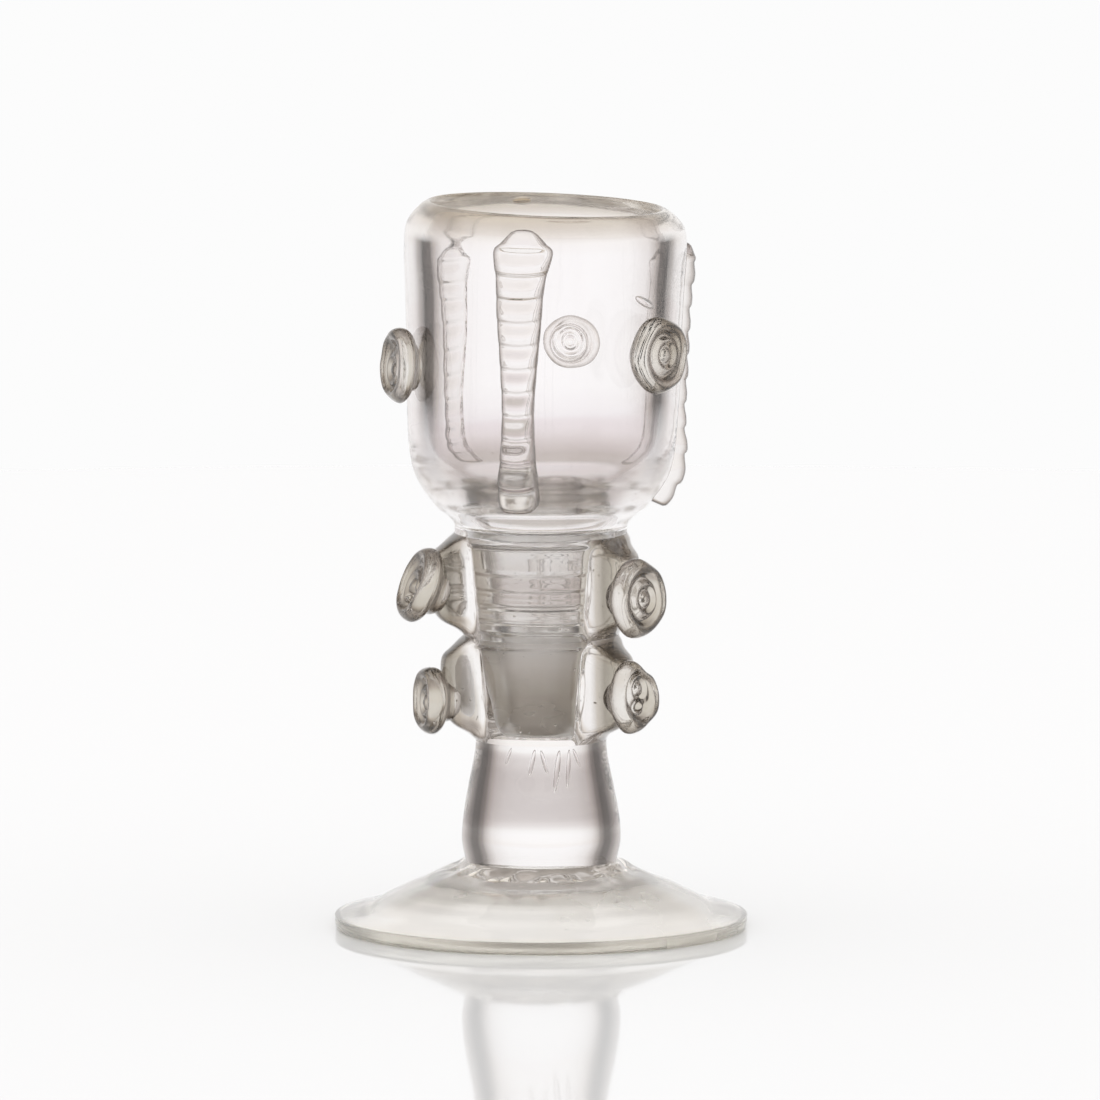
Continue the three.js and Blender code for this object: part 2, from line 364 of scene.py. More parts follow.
class Fuser:
    """Presses gathers of glass on a carrier: cuts each one to the carrier's skin, and opens both where they meet."""

    SAME_PLACE = 0.0005

    def __init__(self) -> None:
        """Makes stand-in materials that tell the carrier's faces from the gathers'."""
        self.marks = [bpy.data.materials.new(f"mark_{face.name.lower()}") for face in Face]
        self.gather = bpy.data.materials.new("mark_gather")

    @staticmethod
    def combined(piece: Object, other: Object, operation: str) -> Mesh:
        """The boolean of two closed objects as a new mesh, whose faces keep their own marks.

        Args:
            piece: the object that is changed.
            other: the one that it is joined with or cut by.
            operation: UNION or DIFFERENCE.

        Returns:
            The new mesh.
        """
        tool = piece.modifiers.new("fuse", "BOOLEAN")
        tool.operation = operation
        tool.object = other
        tool.solver = "EXACT"
        tool.material_mode = "TRANSFER"
        graph = bpy.context.evaluated_depsgraph_get()
        mesh = bpy.data.meshes.new_from_object(piece.evaluated_get(graph))
        piece.modifiers.remove(tool)
        return mesh

    def press(self, carrier: Object, gathers: Sequence[Object]) -> None:
        """Cuts the gathers by the carrier and gives the carrier seam faces under them.

        Args:
            carrier: the piece that they are pressed on.
            gathers: closed objects that stand clear of each other and reach a little into the carrier.
        """
        relist(carrier.data, self.marks)
        for gather in gathers:
            relist(gather.data, [self.gather] * len(Face))
        cuts = [self.combined(gather, carrier, "DIFFERENCE") for gather in gathers]
        joined = carrier
        steps = []
        for gather in gathers:
            joined = bpy.data.objects.new("joined", self.combined(joined, gather, "UNION"))
            bpy.context.scene.collection.objects.link(joined)
            steps.append(joined)
        shell = self.without_gathers(joined.data)
        for gather, cut in zip(gathers, cuts):
            self.lay_seam(shell, cut)
            gather.data = cut
        bmesh.ops.remove_doubles(shell, verts=shell.verts, dist=self.SAME_PLACE * MM)
        shell.to_mesh(carrier.data)
        shell.free()
        for step in steps:
            bpy.data.objects.remove(step)

    def without_gathers(self, mesh: Mesh) -> bmesh.types.BMesh:
        """The carrier's own faces of a joined mesh, numbered by what they are.

        Args:
            mesh: the carrier joined with its gathers.

        Returns:
            The faces, which the caller frees.
        """
        shell = bmesh.new()
        shell.from_mesh(mesh)
        drop = [f for f in shell.faces if mesh.materials[f.material_index] is self.gather]
        bmesh.ops.delete(shell, geom=drop, context="FACES")
        for face in shell.faces:
            face.material_index = self.marks.index(mesh.materials[face.material_index])
        return shell

    def lay_seam(self, shell: bmesh.types.BMesh, mesh: Mesh) -> None:
        """Numbers a cut gather's faces, and adds its seam faces, turned over, to the carrier.

        Args:
            shell: the carrier's faces.
            mesh: the gather, cut by the carrier.
        """
        cut = bmesh.new()
        cut.from_mesh(mesh)
        spots: dict[int, bmesh.types.BMVert] = {}
        for face in cut.faces:
            seam = mesh.materials[face.material_index] is not self.gather
            face.material_index = Face.SEAM.value if seam else Face.GLASS.value
            if seam:
                for v in face.verts:
                    if v.index not in spots:
                        spots[v.index] = shell.verts.new(v.co)
                back = shell.faces.new([spots[v.index] for v in reversed(face.verts)])
                back.material_index = Face.SEAM.value
        cut.to_mesh(mesh)
        cut.free()


class Web:
    """The node tree of a material or of the world, with short ways to add to it."""

    # Numbers of a Mix node's colour sockets: three that lead in and one that leads out.
    FACTOR, FIRST, SECOND, BLENDED = 0, 6, 7, 2

    def __init__(self, tree: NodeTree) -> None:
        """Takes a tree over."""
        self.tree = tree

    def node(self, kind: str, **settings: object) -> Node:
        """Adds a node and gives it its settings.

        Args:
            kind: the node's type, without ShaderNode before it.
            settings: the properties that it gets.

        Returns:
            The node.
        """
        made = self.tree.nodes.new(f"ShaderNode{kind}")
        for name, value in settings.items():
            setattr(made, name, value)
        return made

    def wire(self, source: NodeSocket, target: NodeSocket) -> None:
        """Leads one socket into another."""
        self.tree.links.new(source, target)

    def blend(self, first: Colour, second: Colour) -> Node:
        """Adds a node that goes from one colour to the other.

        Args:
            first: the colour at 0.
            second: the colour at 1, where it stands until its factor is led in.

        Returns:
            The node.
        """
        node = self.node("Mix", data_type="RGBA")
        node.inputs[self.FACTOR].default_value = 1.0
        node.inputs[self.FIRST].default_value = (*first, 1)
        node.inputs[self.SECOND].default_value = (*second, 1)
        return node

    def times(self, colour: NodeSocket, tone: NodeSocket, share: NodeSocket | None = None) -> NodeSocket:
        """A socket whose colour is another one's, multiplied by a tone.

        Args:
            colour: the colour that is toned.
            tone: what it is multiplied by.
            share: how much of the tone it takes, if not all.

        Returns:
            The toned colour.
        """
        node = self.blend(WHITE, WHITE)
        node.blend_type = "MULTIPLY"
        self.wire(colour, node.inputs[self.FIRST])
        self.wire(tone, node.inputs[self.SECOND])
        if share is not None:
            self.wire(share, node.inputs[self.FACTOR])
        return node.outputs[self.BLENDED]

    def sum_of(self, operation: str, first: NodeSocket, second: NodeSocket | float) -> NodeSocket:
        """The result of an operation on two numbers.

        Args:
            operation: the operation's name.
            first: the first number.
            second: the second one, or a fixed value.

        Returns:
            The result.
        """
        node = self.node("Math", operation=operation)
        self.wire(first, node.inputs[0])
        if isinstance(second, float):
            node.inputs[1].default_value = second
        else:
            self.wire(second, node.inputs[1])
        return node.outputs[0]

    def ranged(
        self, value: NodeSocket, low: float, high: float, to_low: float = 0.0, to_high: float = 1.0
    ) -> NodeSocket:
        """A socket that goes smoothly from one value to another while it follows a third.

        Args:
            value: what it follows.
            low: the followed value at which it sets in.
            high: the one at which it ends.
            to_low: what it is at low.
            to_high: what it is at high.

        Returns:
            The socket.
        """
        node = self.node("MapRange", interpolation_type="SMOOTHSTEP")
        for name, number in (("From Min", low), ("From Max", high), ("To Min", to_low), ("To Max", to_high)):
            node.inputs[name].default_value = number
        self.wire(value, node.inputs["Value"])
        return node.outputs["Result"]

    def graded(self, value: NodeSocket, stops: Stops, unit: float = 1.0) -> NodeSocket:
        """A socket whose colour follows value through the stops.

        Args:
            value: what it follows.
            stops: values and their colours, rising.
            unit: the unit that the stops' values are in.

        Returns:
            The colour socket.
        """
        low, high = stops[0][0] * unit, stops[-1][0] * unit
        spread = self.node("MapRange")
        spread.inputs["From Min"].default_value = low
        spread.inputs["From Max"].default_value = high
        self.wire(value, spread.inputs["Value"])
        ramp = self.node("ValToRGB")
        marks = ramp.color_ramp.elements
        for i, (at, colour) in enumerate(stops):
            place = (at * unit - low) / (high - low)
            mark = marks[i] if i < 2 else marks.new(place)
            mark.position = place
            mark.color = (*colour, 1)
        self.wire(spread.outputs["Result"], ramp.inputs["Fac"])
        return ramp.outputs["Color"]

    def away(self, place: NodeSocket, centre: Point = (0.0, 0.0)) -> NodeSocket:
        """How far a place lies from an upright line.

        Args:
            place: the place, in metres.
            centre: the line's place, in millimetres.

        Returns:
            The distance in metres.
        """
        level = self.node("VectorMath", operation="MULTIPLY_ADD")
        self.wire(place, level.inputs[0])
        level.inputs[1].default_value = (1, 1, 0)
        level.inputs[2].default_value = (-centre[0] * MM, -centre[1] * MM, 0)
        far = self.node("VectorMath", operation="LENGTH")
        self.wire(level.outputs[0], far.inputs[0])
        return far.outputs["Value"]

    def through_glass(self, mirrors: bool) -> NodeSocket:
        """A socket that is 1 where the view comes through glass without having lit anything, and else 0.

        Args:
            mirrors: whether glossy reflections count too.

        Returns:
            The socket.
        """
        path = self.node("LightPath")
        seen = path.outputs["Is Transmission Ray"]
        if mirrors:
            seen = self.sum_of("MAXIMUM", seen, path.outputs["Is Glossy Ray"])
        return self.sum_of("MULTIPLY", seen, self.sum_of("LESS_THAN", path.outputs["Diffuse Depth"], 0.5))


def greys(table: Sequence[Point]) -> Stops:
    """Stops whose colours are the greys of a table of (value, grey)."""
    return [(at, (grey,) * 3) for at, grey in table]


@dataclass(frozen=True)
class GlassFinish:
    """Old clear glass with faint streaks and ripples: bright face on and darker where it turns away, as painted
    shade, with painted shade and tints by height.

    Attributes:
        name: the material's name.
        slot: the record's slot that it belongs to; not used.
        tint: the glass's colour.
        streak: its colour in the streaks.
        edge: painted shade by how far the surface turns away from the view, for the dark rims that glass shows.
        grain: about how many streaks there are to the metre along each axis.
        ripple: how deep the streaks ripple the surface.
        roughness: how dull it is between the streaks.
        shade_and_tint: tones by height: painted shade in grey bands at the bowl's base, in the upper knop's bore and
            in the lower knop's cup, and warm tints at the lip and at the foot's rim.
        haze: roughness by height, in place of roughness.
        edge_shade_held: how much of the edge's painted shade is taken, by height.
        reach: painted shade on the parts drawn out sideways, by the level distance from lobe_shade_from.
        lobe_shade_from: a point near the front, so that only parts drawn out sideways get the painted shade.
        lobe_shade_back: depths between which that painted shade fades out towards the back.
        clearness: how much of the surface is clear; the rest is a pale deposit.
    """

    name: str
    slot: Slot
    tint: Colour
    streak: Colour
    edge: Stops
    grain: tuple[float, float, float]
    ripple: float
    roughness: float = 0.004
    shade_and_tint: Stops = ()
    haze: Sequence[Point] = ()
    edge_shade_held: Sequence[Point] = ()
    reach: Stops = ()
    lobe_shade_from: Point = (-2.1, -9.8)
    lobe_shade_back: Point = (7.0, 15.0)
    clearness: float = 1.0

    # The refractive index, and the streaks' values between which their colour and their dullness set in.
    INDEX = 1.5
    STREAKED = (0.4, 0.7)
    DULLED = (0.45, 0.8)

    def material(self) -> Material:
        """The finish as a material whose streaks follow the piece.

        Returns:
            The material.
        """
        made = bpy.data.materials.new(self.name)
        made.use_nodes = True
        web = Web(made.node_tree)
        shader = made.node_tree.nodes["Principled BSDF"]
        shader.inputs["IOR"].default_value = self.INDEX
        shader.inputs["Transmission Weight"].default_value = self.clearness
        place = web.node("TexCoord").outputs["Object"]
        parts = web.node("SeparateXYZ")
        web.wire(place, parts.inputs[0])
        cords = self.cords(web, place)
        colour = self.glass(web, cords, parts.outputs["Z"])
        # Painted shade on the parts drawn out sideways, by their level distance from lobe_shade_from, fading out
        # towards the back.
        if self.reach:
            near, far = (depth * MM for depth in self.lobe_shade_back)
            held = web.ranged(parts.outputs["Y"], near, far, 1.0, 0.0)
            colour = web.times(colour, web.graded(web.away(place, self.lobe_shade_from), self.reach, MM), held)
        web.wire(colour, shader.inputs["Base Color"])
        if self.haze:
            dull = web.graded(parts.outputs["Z"], greys(self.haze), MM)
        else:
            dull = web.ranged(cords, *self.DULLED, self.roughness, self.roughness * 2)
        web.wire(dull, shader.inputs["Roughness"])
        waves = web.node("Bump")
        waves.inputs["Strength"].default_value = 1.0
        waves.inputs["Distance"].default_value = self.ripple * MM
        web.wire(cords, waves.inputs["Height"])
        web.wire(waves.outputs["Normal"], shader.inputs["Normal"])
        return made

    def cords(self, web: Web, place: NodeSocket) -> NodeSocket:
        """The glass's streaks, drawn out as its grain says.

        Args:
            web: the material's nodes.
            place: the place that is seen.

        Returns:
            The streaks, about 0 to 1.
        """
        stretch = web.node("Mapping")
        stretch.inputs["Scale"].default_value = self.grain
        web.wire(place, stretch.inputs["Vector"])
        noisy = web.node("TexNoise")
        noisy.inputs["Scale"].default_value = 1.0
        noisy.inputs["Detail"].default_value = 3.0
        web.wire(stretch.outputs["Vector"], noisy.inputs["Vector"])
        return noisy.outputs["Fac"]

    def glass(self, web: Web, cords: NodeSocket, height: NodeSocket) -> NodeSocket:
        """The glass's colour with its streaks, its painted edge shade, and its film of painted shade and tints by
        height.

        Args:
            web: the material's nodes.
            cords: the streaks.
            height: the height of the place that is seen.

        Returns:
            The colour.
        """
        streaked = web.blend(self.tint, self.streak)
        web.wire(web.ranged(cords, *self.STREAKED), streaked.inputs[web.FACTOR])
        held = web.graded(height, greys(self.edge_shade_held), MM) if self.edge_shade_held else None
        # Painted shade: the colour darkens where the surface turns away from the view, as the rims of glass look
        # dark.
        turned = web.node("LayerWeight").outputs["Facing"]
        colour = web.times(streaked.outputs[web.BLENDED], web.graded(turned, self.edge), held)
        # The film: painted shade in bands by height, and warm tints.
        return web.times(colour, web.graded(height, self.shade_and_tint, MM)) if self.shade_and_tint else colour


class Dresser:
    """Gives finished skins their glass and tells the frame what each one is."""

    def __init__(self, finishes: Sequence[GlassFinish]) -> None:
        """Makes each finish and the clear stuff of the fused seams.

        Args:
            finishes: all the finishes.
        """
        self.finishes = {f.name: f for f in finishes}
        self.glass = {f.name: f.material() for f in finishes}
        self.seam = bpy.data.materials.new("fused_seam")
        self.seam.use_nodes = True
        web = Web(self.seam.node_tree)
        web.tree.nodes.remove(web.tree.nodes["Principled BSDF"])
        web.wire(web.node("BsdfTransparent").outputs["BSDF"], web.tree.nodes["Material Output"].inputs["Surface"])

    def dress(self, piece: Object, finish: str, node: str, inside: str = "") -> None:
        """Finishes a piece and puts it in its node's place.

        Args:
            piece: the closed skin.
            finish: the name of the finish that it gets.
            node: the node of the frame that it stands for.
            inside: the name of the finish inside its cavity, if that differs.
        """
        mesh = piece.data
        relist(mesh, (self.glass[finish], self.seam, self.glass[inside or finish], self.glass["fold_glass"]))
        mesh.shade_smooth()
        shell = bmesh.new()
        shell.from_mesh(mesh)
        for edge in shell.edges:
            seams = {f.material_index == Face.SEAM.value for f in edge.link_faces}
            edge.smooth = len(seams) == 1
        shell.to_mesh(mesh)
        shell.free()
        piece.name = f"{node}_glass"
        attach(piece, ROOT)
        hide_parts(node)
        log.info("%s: %d faces", piece.name, len(mesh.polygons))


def upright(radius: float, height: float, bearing: float) -> Vector:
    """The point at a radius, a height and a bearing."""
    angle = math.radians(bearing)
    return Vector((radius * math.sin(angle), -radius * math.cos(angle), height))


def turn_between(start: float, end: float) -> float:
    """The turn from one bearing to another, at most half a turn either way."""
    return (end - start + 180) % 360 - 180


def handmade(point: Vector, amount: float = UNEVENNESS, grain: float = 15.0) -> Vector:
    """Moves a point in or out by the small unevenness of blown glass.

    Args:
        point: the point, in millimetres.
        amount: how far it may move.
        grain: about how far apart the crests are.

    Returns:
        The moved point.
    """
    reach = math.hypot(point.x, point.y)
    if reach < 1e-6:
        return point
    stretch = 1 + rippled(point, grain, amount) / reach
    return Vector((point.x * stretch, point.y * stretch, point.z))


@dataclass
class Seeds:
    """Seed bubbles left in the glass of a piece, most of them small and some drawn out."""

    count: int
    seed: int
    smallest: float = 0.09
    largest: float = 0.26
    drawn_out: float = 2.2

    def add(self, piece: Object, spot: Callable[[random.Random], Vector]) -> None:
        """Adds the bubbles inside a piece.

        Args:
            piece: the closed skin that holds them.
            spot: picks a place inside its glass.
        """
        draw = random.Random(self.seed)
        skin = Skin()
        for _ in range(self.count):
            size = mix(self.smallest, self.largest, draw.random() ** 3)
            long = size * mix(1.0, self.drawn_out, draw.random() ** 2)
            turn = Matrix.Rotation(draw.uniform(0, math.pi), 3, "Z") @ Matrix.Rotation(math.pi / 2, 3, "X")
            skin.bubble(spot(draw), Vector((size, size, long)), turn)
        add_voids(piece, skin)


def add_voids(piece: Object, skin: Skin) -> None:
    """Adds a skin of bubbles to a piece's mesh.

    Args:
        piece: the closed skin that holds them.
        skin: the bubbles.
    """
    voids = skin.mesh("voids")
    shell = bmesh.new()
    shell.from_mesh(piece.data)
    shell.from_mesh(voids)
    shell.to_mesh(piece.data)
    shell.free()
    bpy.data.meshes.remove(voids)


@dataclass
class Bowl:
    """The blown bowl: thick wall, heavy base and an incurved lip that runs a little downhill."""

    levels: Levels
    radius: float = 31.3
    wall: float = 4.5
    neck_radius: float = 19.3
    neck_bore: float = 13.2
    lean: float = 1.1
    lip_drop: float = 1.2
    fold: float = 2.2
    fold_height: float = 1.7
    fold_top: float = 0.8
    inset: float = 0.03
    sides: int = 168
    steps: int = 6

    # Shares of the way from the neck to the lip, and from the neck's radius to the widest.
    OUTSIDE = (
        (0, 0), (0.03, 0.02), (0.055, 0.16), (0.08, 0.36), (0.105, 0.48), (0.13, 0.6), (0.155, 0.69), (0.18, 0.77),
        (0.25, 0.87), (0.4, 0.93), (0.6, 0.96), (0.75, 0.99), (0.86, 1.03), (0.93, 1.0), (0.955, 0.92), (0.98, 0.78),
        (0.995, 0.66), (1, 0.57),
    )
    INSIDE = (
        (0.98, 0.9), (0.93, 0.98), (0.85, 1.04), (0.6, 0.98), (0.38, 0.95), (0.26, 0.88), (0.2, 0.72), (0.145, 0.45),
        (0.1, 0.2), (0.05, 0.05), (0, 0),
    )
    # The share of the way from the neck's radius to the widest at which the lip is highest.
    CREST = 0.6
    # Radii of the heavy base's inside and outside, each at the neck and as high as seeds reach. Then the seeds'
    # heights over the neck and their depths as shares of that wall.
    BASE_WALL = ((14.5, 24.5), (19.0, 28.0))
    SEEDED = (3.0, 13.0)
    SEED_DEPTHS = (0.3, 0.8)

    def outside(self) -> Outline:
        """The outside from the neck up to the lip."""
        low, high = self.levels.neck, self.levels.lip
        return [(mix(self.neck_radius, self.radius, swell), mix(low, high, rise)) for rise, swell in self.OUTSIDE]

    def inside(self) -> Outline:
        """The inside from under the lip down to the neck.

        Returns:
            The outline's corners.
        """
        low, high = self.levels.neck, self.levels.lip
        cavity = self.radius - self.wall
        return [(mix(self.neck_bore, cavity, swell), mix(low, high, rise)) for rise, swell in self.INSIDE]

    def outline(self) -> tuple[Outline, Outline]:
        """The bowl's skin from the neck over the lip, and from under the lip down the inside.

        Returns:
            The two parts, smoothed; the second starts on the first one's last point.
        """
        skin = flowing([*self.outside(), *self.inside()], self.steps)
        split = (len(self.OUTSIDE) + 1) * self.steps
        return skin[: split + 1], skin[split:]

    def wall_at(self) -> list[Point]:
        """The outside as a table of (radius, height) that rises.

        Returns:
            The table, from the neck up to the lip's crest.
        """
        outline = self.outline()[0]
        top = max(range(len(outline)), key=lambda i: outline[i][1])
        return outline[: top + 1]

    def slump(self, point: Vector) -> Vector:
        """Leans a point of the bowl to +X and drops the lip that way, as the hot glass sagged.

        Args:
            point: the point of the upright bowl.

        Returns:
            The point in space.
        """
        share = max(0.0, (point.z - self.levels.neck) / (self.levels.lip - self.levels.neck))
        drop = self.lip_drop * (point.x / self.radius) * share**8
        return Vector((point.x + self.lean * share, point.y, point.z - drop))

    @classmethod
    def lip_run(cls) -> float:
        """How far the lip's highest point stands over its middle, and a hair to stay inside the solid."""
        return cls.lip_drop * mix(cls.neck_radius, cls.radius, cls.CREST) / cls.radius + cls.inset

    def place(self, radius: float, height: float, bearing: float) -> Vector:
        """Where a point of the bowl's outline goes at a bearing."""
        return self.slump(handmade(upright(radius, height, bearing)))

    def place_inside(self, radius: float, height: float, bearing: float) -> Vector:
        """Where a point of the inside goes: it is folded in a little where the knop below was joined."""
        away = (height - self.levels.neck) / self.fold_height
        return self.place(radius - self.fold * math.exp(-(away**4)), height, bearing)

    def build(self) -> Object:
        """The bowl's closed skin; its foot is a fused seam.

        Returns:
            The bowl.
        """
        skin = Skin()
        outer, inner = self.outline()
        inside, fold = parted(inner, self.levels.neck + self.fold_top)
        skin.turn(
            [
                (outer, Face.GLASS, self.place),
                (inside, Face.INSIDE, self.place_inside),
                (fold, Face.FOLD, self.place_inside),
            ],
            self.sides,
        )
        return skin.object("bowl")

    def blisters(self) -> Skin:
        """A long blister high in the wall on the right and a small one in the back of the rim.

        Returns:
            Their skin.
        """
        skin = Skin()
        blisters = (
            (self.radius - self.wall / 2, 142.9, 48.0, (1.0, 0.5, 3.3), 46.0, -64.0),
            (self.radius - 4.1, self.levels.lip - 1.9, 191.5, (2.5, 0.8, 0.75), 11.5, 0.0),
        )
        for radius, height, bearing, half, turn, lean in blisters:
            turned = Matrix.Rotation(math.radians(turn), 3, "Z") @ Matrix.Rotation(math.radians(lean), 3, "Y")
            skin.bubble(self.slump(upright(radius, height, bearing)), Vector(half), turned, 8)
        return skin

    def seed_spot(self, draw: random.Random) -> Vector:
        """A place in the heavy base.

        Args:
            draw: the random numbers.

        Returns:
            The place.
        """
        low, high = self.SEEDED
        rise = mix(low, high, draw.random())
        inner, outer = (mix(*ends, rise / high) for ends in self.BASE_WALL)
        radius = mix(inner, outer, draw.uniform(*self.SEED_DEPTHS))
        return upright(radius, self.levels.neck + rise, draw.uniform(0, 360))

    def dress(self, body: Object, dresser: Dresser) -> None:
        """Leaves its bubbles in the fused bowl and gives it its glass.

        Args:
            body: its closed skin.
            dresser: holds the finishes.
        """
        Seeds(60, seed=3).add(body, self.seed_spot)
        add_voids(body, self.blisters())
        dresser.dress(body, "bowl_glass", "bowl", "bowl_inside")


@dataclass
class Trail:
    """A ribbon of glass laid down the bowl and pinched across at an even pitch."""

    node: str
    bowl: Bowl
    bearing: float
    top_share: float
    foot_share: float = 0.087
    head_width: float = 13.9
    waist_width: float = 7.4
    tail_width: float = 9.2
    proud: float = 3.0
    pitch: float = 5.3
    head_lean: float = 0.0
    pinch: float = 0.33
    bow: float = 0.1
    sunk: float = 0.4
    root: float = 1.3
    steps: int = 11
    sides: int = 40
    wall: list[Point] = field(init=False)
    top: float = field(init=False)
    bottom: float = field(init=False)
    notches: int = field(init=False)

    # The share of the way down, the shares of the head's, waist's and tail's widths, and how proud it stands.
    ROWS = (
        (0, 0.2, 0, 0, 0.3), (0.03, 0.5, 0, 0, 0.8), (0.06, 0.78, 0, 0, 1.0), (0.088, 1, 0, 0, 1.15),
        (0.13, 0.93, 0, 0, 1.2), (0.21, 0.8, 0, 0, 1.15), (0.33, 0.74, 0, 0, 1.1), (0.5, 0.17, 0.83, 0, 1.1),
        (0.66, 0, 1, 0, 1.1), (0.84, 0, 0.5, 0.5, 1.6), (0.92, 0, 0, 1, 1.75), (0.97, 0, 0, 1, 1.65),
        (1, 0, 0, 0.8, 0.9),
    )

    def __post_init__(self) -> None:
        """Works out where its ends lie and how often it is pinched."""
        levels = self.bowl.levels
        self.wall = self.bowl.wall_at()
        self.top, self.bottom = (mix(levels.neck, levels.lip, share) for share in (self.top_share, self.foot_share))
        self.notches = round((self.top - self.bottom) / self.pitch)

    def widths(self) -> list[Point]:
        """The ribbon's width against the share of the way down.

        Returns:
            A table of (width, share).
        """
        return [
            (head * self.head_width + waist * self.waist_width + tail * self.tail_width, down)
            for down, head, waist, tail, _ in self.ROWS
        ]

    def pinched(self, phase: float) -> float:
        """How deep the tool went at a share of the way from one notch to the next: slow rise, sharp step."""
        return max(1 - eased(0.0, 0.6, phase), eased(0.84, 1.0, phase))

    def build(self) -> Object:
        """The ribbon's closed skin, with its back a little inside the wall.

        Returns:
            The ribbon.
        """
        widths = flowing(self.widths(), 4)
        rises = flowing([(rise, down) for down, *_, rise in self.ROWS], 4)
        rows = self.notches * self.steps
        skin, rings = Skin(), []
        for row in range(rows + 1):
            down = row / rows
            ends = eased(0, 0.03, down) * eased(0, 0.02, 1 - down)
            wide = value_at(widths, down) / 2 * mix(0.25, 1.0, ends)
            rings.append(skin.ring(self.ring(down, wide, self.proud * value_at(rises, down), ends)))
        middles = [sum((skin.points[i] for i in ring), Vector()) / len(ring) for ring in (rings[0], rings[-1])]
        first, last = [skin.ring([middle]) for middle in middles]
        for low, high in zip([first, *rings], [*rings, last]):
            skin.band(low, high)
        return skin.object(self.node)

    def ring(self, down: float, wide: float, rise: float, ends: float) -> list[Vector]:
        """The points round the ribbon at one height.

        Args:
            down: the share of the way down.
            wide: its half width there.
            rise: how proud it stands there before it is pinched.
            ends: how far it is from its ends, from 0 to 1.

        Returns:
            The points.
        """
        height = mix(self.top, self.bottom, down)
        slope = value_at(self.wall, height + 0.5) - value_at(self.wall, height - 0.5)
        lean = math.hypot(1, slope)
        radius = value_at(self.wall, height)
        ring = []
        for i in range(self.sides):
            turn = 2 * math.pi * i / self.sides
            across, over = math.cos(turn), math.sin(turn)
            crown = max(0.0, 1 - abs(across) ** 3.6) ** 0.7
            bowed = down * self.notches + self.bow * (across * across - 0.4)
            at_end = eased(0.45, 0.8, bowed) * eased(0.45, 0.8, self.notches - bowed)
            deep = self.pinched(bowed - math.floor(bowed)) * at_end
            cut = self.pinch * deep * (1 - 0.75 * abs(across) ** 4)
            out = crown * (rise * (1 - cut) + self.sunk) * ends if over >= 0 else -self.root * crown * ends
            offset = across * wide * (1 - 0.015 * deep) + self.head_lean * (1 - eased(0.0, 0.3, down))
            out -= self.sunk
            angle = self.bearing + math.degrees(offset / radius)
            point = upright(radius + out / lean, height - slope * out / lean, angle)
            ring.append(self.bowl.slump(handmade(point)))
        return ring

    def dress(self, body: Object, dresser: Dresser) -> None:
        """Gives the ribbon its glass."""
        dresser.dress(body, "trail_glass", self.node)


